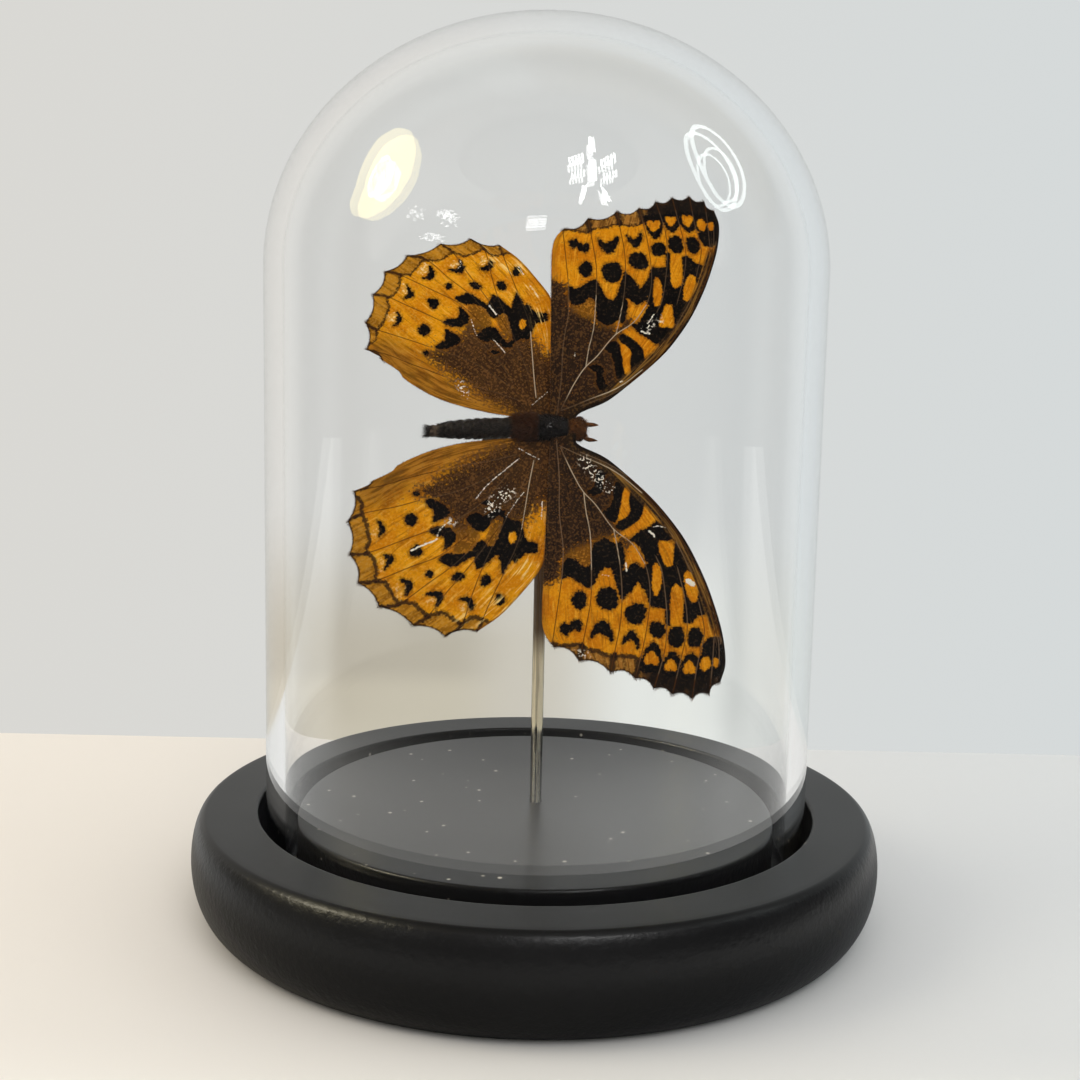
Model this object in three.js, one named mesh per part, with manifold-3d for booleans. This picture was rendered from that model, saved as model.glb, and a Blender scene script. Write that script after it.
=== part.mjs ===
// A mounted butterfly on a steel pin, under a glass dome on a round wooden base.
// Millimetres, +Z up. The origin is the middle of the base's flat underside.
// The dome's open side faces down. The butterfly shows its top side to -Y, its head towards +X.

import * as THREE from 'three';
import { mergeVertices } from 'three/addons/utils/BufferGeometryUtils.js';
import Module from 'manifold-3d';

// ---- Driving dimensions ----

const TURN_STEPS = 60;           // facets round the base and the dome
const BULGE_STEPS = { lower: 6, upper: 5 };  // facets up the base's rounded side
const FIT_GAP = 0.3;             // clearance between pieces that touch

const BASE = {
  height: 16.8,                  // flat top ring and raised floor are level
  radius: 57.1,                  // widest, at the belly of the side
  bellyHeight: 9.5,
  footRadius: 51.5,              // flat underside
  topRadius: 54.6,               // outer edge of the flat top ring
  grooveOuter: 46.3,
  grooveInner: 40.0,
  grooveFloor: 9.0,
  holeDepth: 8.0,                // drilled hole for the pin
};

const DOME = {
  radius: 45.0,                  // a 90 mm dome
  wall: 3.0,
  top: 144.6,
  capHeight: 40.0,               // rounded end, a little flatter than a half ball
  capSteps: 10,
};

const PIN = { radius: 1.0, top: 80.9, sides: 16 };

const INSECT = {
  centre: [0, -4.0, 80.2],       // middle of the thorax
  yaw: 1.7,                      // degrees, head turned away from -Y
};

const WING = {
  thickness: 0.35,
  camber: 0.9,                   // height of the arch from root to tip
  rings: [0.5, 0.82, 1.0],       // mesh rings from the wing's middle to its edge
  sagSteps: 4,                   // edges between two vein ends
  rootSpan: 4.0,                 // the part of the wing nearest the body that its inset moves
};

// ---- Wing outlines: [a, b], a along the body towards the head, b out from the body's axis ----

// Each outline runs anticlockwise: up the leading edge, along the outer margin, down the inner edge.
// Vein ends stand out along the outer margin, and the margin sags between each two of them.
const FOREWING = {
  leadingEdge: [
    [5.6, 2.9], [10.4, 5.0], [15.3, 8.8], [19.9, 13.3], [23.6, 18.4],
    [26.4, 24.0], [28.2, 29.0], [29.2, 33.0], [29.5, 36.6], [28.8, 39.4],
  ],
  veinEnds: [[27.2, 41.3], [24.6, 42.2], [21.6, 41.7], [18.8, 40.9], [15.9, 39.5], [12.1, 38.8], [7.2, 37.3]],
  innerEdge: [[3.2, 35.3], [1.8, 33.5], [1.2, 31.0], [1.1, 26.0], [1.1, 17.0], [1.1, 9.0], [1.2, 2.9]],
  sag: 0.8,
  centre: [9.0, 20.0],
};

const HINDWING = {
  leadingEdge: [
    [2.1, 6.0], [2.4, 10.0], [2.6, 15.0], [2.2, 19.5], [1.2, 23.2], [-1.2, 26.9], [-4.3, 30.8], [-7.6, 33.6],
  ],
  veinEnds: [
    [-12.5, 34.8], [-17.6, 33.6], [-23.2, 31.1], [-26.8, 27.7], [-28.6, 23.3], [-29.5, 18.1], [-29.1, 13.1],
  ],
  innerEdge: [
    [-26.4, 11.3], [-23.6, 9.5], [-22.7, 8.4], [-20.3, 6.9], [-16.6, 5.1], [-12.6, 3.8], [-9.0, 3.0],
    [-4.0, 2.9], [1.6, 2.9],
  ],
  sag: 0.6,
  centre: [-9.0, 17.0],
};

// Tilt is how far the wing tip leans towards -Y, turn is the wing's swing in its own plane about
// its hinge, lift is the height of its plane above the body's axis, forewings over hindwings, and
// inset is how much nearer the body the root reaches.
const MOUNTING = {
  left_forewing: { plan: FOREWING, side: 1, tilt: -23.7, turn: 0, hinge: [4, 2], lift: 1.1, inset: 0.5 },
  right_forewing: { plan: FOREWING, side: -1, tilt: 20.9, turn: 2.3, hinge: [4, 2], lift: 1.1, inset: 0.3 },
  left_hindwing: { plan: HINDWING, side: 1, tilt: -28.5, turn: 0, hinge: [0, 2], lift: 0.2, inset: 0.5 },
  right_hindwing: { plan: HINDWING, side: -1, tilt: 18.6, turn: 4.1, hinge: [0, 2], lift: 0.2, inset: 0.1 },
};

// ---- Body: stations from the tip of the abdomen to the face ----

// [a, half width, half depth, sideways shift]: the abdomen droops a little to the right side.
const TORSO = [
  [-18.6, 0.55, 0.5, -0.95],
  [-18.0, 0.85, 0.8, -0.9],
  [-16.6, 1.1, 1.1, -0.75],
  [-15.4, 1.35, 1.4, -0.65],
  [-12.0, 1.6, 1.8, -0.45],
  [-8.5, 1.7, 2.0, -0.3],
  [-5.6, 1.6, 1.9, -0.15],
  [-4.6, 1.7, 2.0, -0.1],
  [-3.2, 2.0, 2.5, -0.05],
  [-0.5, 2.1, 2.7, 0],
  [2.0, 2.05, 2.6, 0],
  [3.6, 1.7, 2.2, 0],
  [4.2, 1.4, 1.5, -0.05],
  [4.8, 1.65, 1.5, -0.1],
  [5.8, 1.6, 1.6, -0.1],
  [6.6, 1.2, 1.3, -0.1],
  [7.0, 0.6, 0.7, -0.1],
];
const TORSO_SIDES = 14;
const EYE = { radius: 0.9, along: 5.8, sideways: 1.15, depth: 0.1, sides: 8 };

// Small spindles and legs: [a, sideways, depth below the body's axis], then the radius there.
const PALPS = [
  [[6.4, 0.7, 0.4, 0.3], [7.4, 0.6, 0.3, 0.38], [8.2, 0.6, 0.2, 0.3], [8.9, 0.55, 0.1, 0.08]],
  [[6.2, -1.2, 0.4, 0.3], [7.2, -1.75, 0.3, 0.36], [8.0, -1.85, 0.2, 0.3], [8.8, -1.95, 0.1, 0.08]],
];
const LEGS = [
  [[2.2, 1.0, 2.0, 0.35], [4.2, 2.0, 3.2, 0.3], [3.0, 1.3, 4.2, 0.22], [5.2, 0.9, 4.6, 0.15]],
  [[2.2, -1.0, 2.0, 0.35], [4.2, -2.0, 3.2, 0.3], [3.0, -1.3, 4.2, 0.22], [5.2, -0.9, 4.6, 0.15]],
  [[-2.0, 1.0, 2.0, 0.35], [-3.6, 1.6, 3.1, 0.3], [-6.6, 1.0, 2.9, 0.22], [-9.8, 0.6, 2.6, 0.15]],
  [[-2.0, -1.0, 2.0, 0.35], [-3.6, -2.1, 3.1, 0.3], [-6.6, -2.2, 2.4, 0.22], [-9.8, -2.25, 1.4, 0.15]],
];
const LIMB_SIDES = 6;

// ---- Materials ----

function finish(colour, roughness, metalness = 0, opacity = 1) {
  return new THREE.MeshStandardMaterial({
    color: colour, roughness, metalness, opacity, transparent: opacity < 1,
  });
}

const MATERIALS = {
  blackPaint: finish(0x1b1b1a, 0.45),
  clearGlass: finish(0xeef4f4, 0.03, 0, 0.25),
  steel: finish(0xa9a49a, 0.3, 1),
  wingScales: finish(0xc9780f, 0.7),
  chitin: finish(0x2a1a10, 0.6),
};

// ---- Shape helpers ----

const radians = THREE.MathUtils.degToRad;

// Points on an ellipse about (centreR, centreZ), from one angle to another, both ends included.
// A point at a right angle about the axis lies exactly on it.
function ellipseArc([centreR, centreZ], [radiusR, radiusZ], [from, to], steps) {
  const points = [];
  for (let i = 0; i <= steps; i += 1) {
    const angle = from + ((to - from) * i) / steps;
    const across = angle === 90 ? 0 : radiusR * Math.cos(radians(angle));
    points.push(new THREE.Vector2(centreR + across, centreZ + radiusZ * Math.sin(radians(angle))));
  }
  return points;
}

// A turned solid about +Z from a profile of (radius, height) points.
function turned(profile) {
  const geometry = new THREE.LatheGeometry(profile, TURN_STEPS);
  geometry.rotateX(Math.PI / 2);
  return geometry;
}

// A closed mesh from loose corner positions and triangles, given outward winding.
function meshGeometry(positions, triangles) {
  const geometry = new THREE.BufferGeometry();
  geometry.setAttribute('position', new THREE.Float32BufferAttribute(positions.flat(), 3));
  geometry.setIndex(triangles.flat());
  return geometry;
}

// Joins rings of equal length into a closed skin, with a fan at each end.
function skinRings(rings) {
  const sides = rings[0].length;
  const positions = rings.flat();
  const triangles = [];
  for (let r = 0; r < rings.length - 1; r += 1) {
    for (let i = 0; i < sides; i += 1) {
      const a = r * sides + i;
      const b = r * sides + ((i + 1) % sides);
      triangles.push([a, b, b + sides], [a, b + sides, a + sides]);
    }
  }
  const last = (rings.length - 1) * sides;
  for (let i = 1; i < sides - 1; i += 1) {
    triangles.push([0, i + 1, i], [last, last + i, last + i + 1]);
  }
  return meshGeometry(positions, triangles);
}

// A limb of round section through [x, y, z, radius] stations.
function limb(stations) {
  const points = stations.map(([x, y, z]) => new THREE.Vector3(x, y, z));
  const rings = points.map((point, i) => {
    const before = points[Math.max(i - 1, 0)];
    const after = points[Math.min(i + 1, points.length - 1)];
    const along = after.clone().sub(before).normalize();
    const across = new THREE.Vector3(0, 0, 1).cross(along).normalize();
    const up = along.clone().cross(across);
    return Array.from({ length: LIMB_SIDES }, (_, k) => {
      const angle = (2 * Math.PI * k) / LIMB_SIDES;
      const corner = point.clone()
        .addScaledVector(across, stations[i][3] * Math.cos(angle))
        .addScaledVector(up, stations[i][3] * Math.sin(angle));
      return corner.toArray();
    });
  });
  return skinRings(rings);
}

// ---- Base, dome and pin ----

function baseGeometry() {
  const lowerBulge = [BASE.radius - BASE.footRadius, BASE.bellyHeight];
  const upperBulge = [BASE.radius - BASE.topRadius, BASE.height - BASE.bellyHeight];
  const side = [
    ...ellipseArc([BASE.footRadius, BASE.bellyHeight], lowerBulge, [-90, 0], BULGE_STEPS.lower),
    ...ellipseArc([BASE.topRadius, BASE.bellyHeight], upperBulge, [0, 90], BULGE_STEPS.upper).slice(1),
  ];
  const holeRadius = PIN.radius + FIT_GAP;
  const holeFloor = BASE.height - BASE.holeDepth;
  const inside = [
    [BASE.grooveOuter, BASE.height], [BASE.grooveOuter, BASE.grooveFloor],
    [BASE.grooveInner, BASE.grooveFloor], [BASE.grooveInner, BASE.height],
    [holeRadius, BASE.height], [holeRadius, holeFloor], [0, holeFloor],
  ];
  return turned([new THREE.Vector2(0, 0), ...side, ...inside.map(([r, z]) => new THREE.Vector2(r, z))]);
}

function domeGeometry() {
  const rim = BASE.grooveFloor + FIT_GAP;
  const inner = DOME.radius - DOME.wall;
  const spring = DOME.top - DOME.capHeight;
  return turned([
    new THREE.Vector2(inner, rim),
    new THREE.Vector2(DOME.radius, rim),
    ...ellipseArc([0, spring], [DOME.radius, DOME.capHeight], [0, 90], DOME.capSteps),
    ...ellipseArc([0, spring], [inner, DOME.capHeight - DOME.wall], [90, 0], DOME.capSteps),
    new THREE.Vector2(inner, rim),
  ]);
}

function pinGeometry() {
  const foot = BASE.height - BASE.holeDepth + FIT_GAP;
  const length = PIN.top - foot;
  const geometry = new THREE.CylinderGeometry(PIN.radius, PIN.radius, length, PIN.sides);
  geometry.rotateX(Math.PI / 2);
  geometry.translate(0, 0, foot + length / 2);
  return geometry;
}

// ---- Wings ----

// The closed outline, with each stretch of margin between two vein ends bowed inwards, to the left
// of an anticlockwise walk.
function wingOutline({ leadingEdge, veinEnds, innerEdge, sag }) {
  const margin = [];
  veinEnds.slice(1).forEach(([a1, b1], k) => {
    const [a0, b0] = veinEnds[k];
    const chord = Math.hypot(a1 - a0, b1 - b0);
    for (let i = 0; i < WING.sagSteps; i += 1) {
      const t = i / WING.sagSteps;
      const depth = (sag * Math.sin(Math.PI * t)) / chord;
      margin.push([a0 + (a1 - a0) * t - (b1 - b0) * depth, b0 + (b1 - b0) * t + (a1 - a0) * depth]);
    }
  });
  return [...leadingEdge, ...margin, veinEnds[veinEnds.length - 1], ...innerEdge];
}

// A thin arched plate: on both faces, rings shrink from the outline to the wing's middle.
// The right wings are the left ones mirrored, with their triangles turned over to match.
function wingGeometry({ plan, side, turn, hinge, inset }) {
  const outline = wingOutline(plan);
  const count = outline.length;
  const reach = Math.max(...outline.map(([, b]) => b));
  const [cos, sin] = [Math.cos(radians(turn)), Math.sin(radians(turn))];

  const corner = (fraction, [a, b], face) => {
    const pa = plan.centre[0] + (a - plan.centre[0]) * fraction;
    const pb = plan.centre[1] + (b - plan.centre[1]) * fraction;
    const nearRoot = THREE.MathUtils.clamp(1 - (pb - outline[0][1]) / WING.rootSpan, 0, 1);
    const across = (2 * pb) / reach - 1;
    const height = (WING.camber * (1 - across * across) + face * WING.thickness) / 2;
    const da = pa - hinge[0];
    const db = pb - inset * nearRoot - hinge[1];
    return [hinge[0] + da * cos - db * sin, side * (hinge[1] + da * sin + db * cos), height];
  };

  const corners = [corner(0, [0, 0], 1), corner(0, [0, 0], -1)];
  WING.rings.forEach((fraction) => {
    outline.forEach((point) => corners.push(corner(fraction, point, 1), corner(fraction, point, -1)));
  });
  const top = (ring, i) => 2 + (ring * count + (i % count)) * 2;
  const under = (ring, i) => top(ring, i) + 1;

  const triangles = [];
  const rim = WING.rings.length - 1;
  for (let i = 0; i < count; i += 1) {
    triangles.push([0, top(0, i), top(0, i + 1)], [1, under(0, i + 1), under(0, i)]);
    for (let r = 0; r < rim; r += 1) {
      triangles.push([top(r, i), top(r + 1, i), top(r + 1, i + 1)]);
      triangles.push([top(r, i), top(r + 1, i + 1), top(r, i + 1)]);
      triangles.push([under(r, i), under(r + 1, i + 1), under(r + 1, i)]);
      triangles.push([under(r, i), under(r, i + 1), under(r + 1, i + 1)]);
    }
    triangles.push([top(rim, i), under(rim, i), under(rim, i + 1)]);
    triangles.push([top(rim, i), under(rim, i + 1), top(rim, i + 1)]);
  }
  return meshGeometry(corners, side > 0 ? triangles : triangles.map(([a, b, c]) => [a, c, b]));
}

function wing(name) {
  const mounting = MOUNTING[name];
  const mesh = new THREE.Mesh(wingGeometry(mounting), MATERIALS.wingScales);
  mesh.name = name;
  mesh.rotation.x = radians(90 + mounting.side * mounting.tilt);
  mesh.position.y = -mounting.lift;
  return mesh;
}

// ---- Body ----

function torsoGeometry() {
  const rings = TORSO.map(([a, halfWidth, halfDepth, shift]) => (
    Array.from({ length: TORSO_SIDES }, (_, k) => {
      const angle = (2 * Math.PI * k) / TORSO_SIDES;
      return [a, -halfDepth * Math.sin(angle), shift + halfWidth * Math.cos(angle)];
    })
  ));
  return skinRings(rings);
}

const wasm = await Module();
wasm.setup();

function toSolid(geometry) {
  const bare = geometry.clone();
  bare.deleteAttribute('normal');
  bare.deleteAttribute('uv');
  const merged = mergeVertices(bare);
  return new wasm.Manifold(new wasm.Mesh({
    numProp: 3,
    vertProperties: new Float32Array(merged.attributes.position.array),
    triVerts: new Uint32Array(merged.index.array),
  }));
}

function fromSolid(solid) {
  const { vertProperties, triVerts } = solid.getMesh();
  const geometry = new THREE.BufferGeometry();
  geometry.setAttribute('position', new THREE.BufferAttribute(vertProperties, 3));
  geometry.setIndex(new THREE.BufferAttribute(triVerts, 1));
  return geometry;
}

function eyeGeometry(side) {
  const eye = new THREE.SphereGeometry(EYE.radius, EYE.sides, EYE.sides);
  return eye.translate(EYE.along, EYE.depth, TORSO[TORSO.length - 1][3] + side * EYE.sideways);
}

// The torso with its eyes, palps and folded legs, all one piece.
function bodyGeometry() {
  const limbs = [...PALPS, ...LEGS].map((stations) => (
    limb(stations.map(([a, sideways, depth, radius]) => [a, depth, sideways, radius]))
  ));
  const pieces = [eyeGeometry(1), eyeGeometry(-1), ...limbs];
  return fromSolid(pieces.reduce((joined, piece) => joined.add(toSolid(piece)), toSolid(torsoGeometry())));
}

// ---- The whole object ----

function part(name, geometry, material) {
  const mesh = new THREE.Mesh(geometry, material);
  mesh.name = name;
  return mesh;
}

const insect = new THREE.Group();
insect.position.set(...INSECT.centre);
insect.rotation.z = radians(INSECT.yaw);
insect.add(part('body', bodyGeometry(), MATERIALS.chitin));
Object.keys(MOUNTING).forEach((name) => insect.add(wing(name)));

const object = new THREE.Group();
object.add(part('base', baseGeometry(), MATERIALS.blackPaint));
object.add(part('glass_dome', domeGeometry(), MATERIALS.clearGlass));
object.add(part('pin', pinGeometry(), MATERIALS.steel));
object.add(insect);

export default object;
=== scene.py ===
"""A mounted butterfly on a steel pin, under a glass dome on a round black wooden base.

The frame's axes hold: +Z up, the butterfly's top side towards -Y, its head towards +X. Sizes are
written in millimetres, as on the solids, and become metres when a mesh is made. A wing's plan is
flat: a runs along the body towards the head, b runs out from the body's axis.
"""

import math

import bpy
import numpy as np
from mathutils import Matrix


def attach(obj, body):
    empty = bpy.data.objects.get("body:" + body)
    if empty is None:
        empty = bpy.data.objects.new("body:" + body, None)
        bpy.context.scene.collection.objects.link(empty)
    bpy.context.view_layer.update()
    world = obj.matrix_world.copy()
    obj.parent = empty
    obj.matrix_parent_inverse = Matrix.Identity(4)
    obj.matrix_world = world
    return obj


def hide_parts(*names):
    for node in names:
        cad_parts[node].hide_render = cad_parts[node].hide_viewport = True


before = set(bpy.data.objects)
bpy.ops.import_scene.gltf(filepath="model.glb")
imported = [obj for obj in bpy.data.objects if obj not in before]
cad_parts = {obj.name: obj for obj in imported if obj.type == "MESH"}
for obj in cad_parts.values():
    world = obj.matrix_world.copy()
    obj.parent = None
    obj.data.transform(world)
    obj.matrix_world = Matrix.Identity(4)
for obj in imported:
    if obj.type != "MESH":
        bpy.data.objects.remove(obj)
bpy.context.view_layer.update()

MM = 0.001
BASE_SIDES = DOME_SIDES = 256
PIN_SIDES = 48
# Rings along the torso, and points round each.
TORSO_GRID = (300, 72)
# How far along a side each corner of a loop is cut, and the distance given where there is no mark at all.
CORNER_CUT = 0.15
FAR_OFF = 9.0
# A direction that no limb runs along, which the rings of a limb are squared to.
LIMB_HELPER = [0.12, 0.96, 0.25]
HAIR_WIDTH = 0.03

# ---- Driving dimensions, the same as the solids' ----

BASE = {
    "height": 16.8, "radius": 57.1, "belly": 9.5, "foot": 51.5, "top": 54.6,
    "groove_outer": 46.3, "groove_inner": 40.0, "groove_floor": 9.0,
    "hole_radius": 1.05, "hole_depth": 8.0, "roundings": [0.5, 0.3, 0.3, 0.5, 0.15, 0.1],
}
DOME = {"radius": 45.0, "wall": 3.0, "top": 144.6, "cap": 40.0, "rim": 9.3, "roundings": [0.9, 0.9]}
PIN = {"radius": 1.0, "top": 80.9, "foot": 9.1, "roundings": [0.2, 0.2]}
INSECT_CENTRE = (0.0, -4.0, 80.2)
INSECT_YAW = 1.7
WING_CAMBER = 0.9
WING_THICKNESS = 0.14
ROOT_SPAN = 4.0

# How each wing is set: tilt of its tip towards -Y, turn in its own plane about the hinge, lift above
# the body's axis, and how much nearer the body its root reaches.
MOUNTING = {
    "left_forewing": {"side": 1, "tilt": -23.7, "turn": 0.0, "hinge": (4, 2), "lift": 1.1, "inset": 0.5},
    "right_forewing": {"side": -1, "tilt": 20.9, "turn": 2.3, "hinge": (4, 2), "lift": 1.1, "inset": 0.3},
    "left_hindwing": {"side": 1, "tilt": -28.5, "turn": 0.0, "hinge": (0, 2), "lift": 0.2, "inset": 0.5},
    "right_hindwing": {"side": -1, "tilt": 18.6, "turn": 4.1, "hinge": (0, 2), "lift": 0.2, "inset": 0.1},
}

# ---- Lamps: directions from the dome's middle, and their colours ----

LAMP_CENTRE = np.array([0, 0, 115.0])
LAMP_DISTANCE = 1100.0
ROUND_LAMP = (-0.81, -0.15, 0.57)
RING_LAMP = (0.79, -0.06, 0.61)
FITTING = (0.257, -0.666, 0.701)
SMALL_WINDOW = (-0.054, -0.933, 0.356)
GLINT_HEADING = (-0.691, -0.65, 0.317)
# Glints beside the small window: middle and size of each patch, and how many lie in it.
GLINTS = [(136, 56, 90, 90, 16), (-120, 62, 150, 60, 34), (-140, 5, 100, 60, 10), (-40, -130, 190, 50, 20)]
GLINT = [(-1, -0.6), (1, -1), (0.8, 1), (-1, 0.7)]
# The two rings of the ring lamp: middle, half widths, lean and width of the band.
RINGS = [((-3, -12), (190, 305), 28, 32), ((50, -66), (138, 210), 40, 20)]
# The other lamps' outlines, in millimetres across and up.
BEAN = [(30, 300), (-155, 206), (-280, 38), (-295, -126), (-234, -263), (-113, -350), (57, -345),
        (126, -270), (138, -142), (204, 18), (239, 169), (170, 275)]
BEAN_CORE = [(20, 95), (-110, 40), (-160, -80), (-120, -190), (-25, -200), (39, -105), (62, 10), (55, 80)]
FITTING_BARS = [
    [(-24, 276), (-61, 274), (-41, 132), (3, 134)], [(21, 80), (-27, 59), (-2, -117), (48, -132)],
    [(108, -164), (64, -149), (115, -291), (143, -289)], [(-16, -152), (-50, -205), (-82, -313), (-26, -295)],
]
FITTING_LOUVRES = [
    [(148, 95), (35, 136), (50, 0), (160, -20)], [(160, -40), (54, -20), (72, -110), (180, -120)],
    [(-52, 59), (-172, 134), (-160, 0), (-48, -40)], [(-48, -60), (-158, -20), (-144, -115), (-44, -150)],
]
WINDOW = [(82, 21), (-102, 35), (-92, -69), (94, -91)]
CREAM = (1.0, 0.86, 0.36)
WARM = (1.0, 0.92, 0.74)
COOL = (0.92, 1.0, 0.98)
WHITE = (1.0, 1.0, 1.0)
# Painted shadow and light on the low wall behind the glass, from left to right: where each begins and is
# full, and its colour.
LOW_PAINTED_LIGHT_TINTS = [(-0.08, -0.01, (0.93, 0.87, 0.77)), (0.0, 0.09, (1.22, 1.22, 1.18)),
             (0.165, 0.215, (1.0, 1.0, 0.97))]
# The table's half width, near edge, far edge and thickness.
TABLE = (1100.0, -1300.0, 91.0, 25.0)
CAMERA = {"pitch": 8.163, "roll": 1.183, "place": (-0.147, -238.13, 95.42), "lens": 48.36}

# ---- Wing plans: the four edges, then what is drawn on them ----

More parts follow.
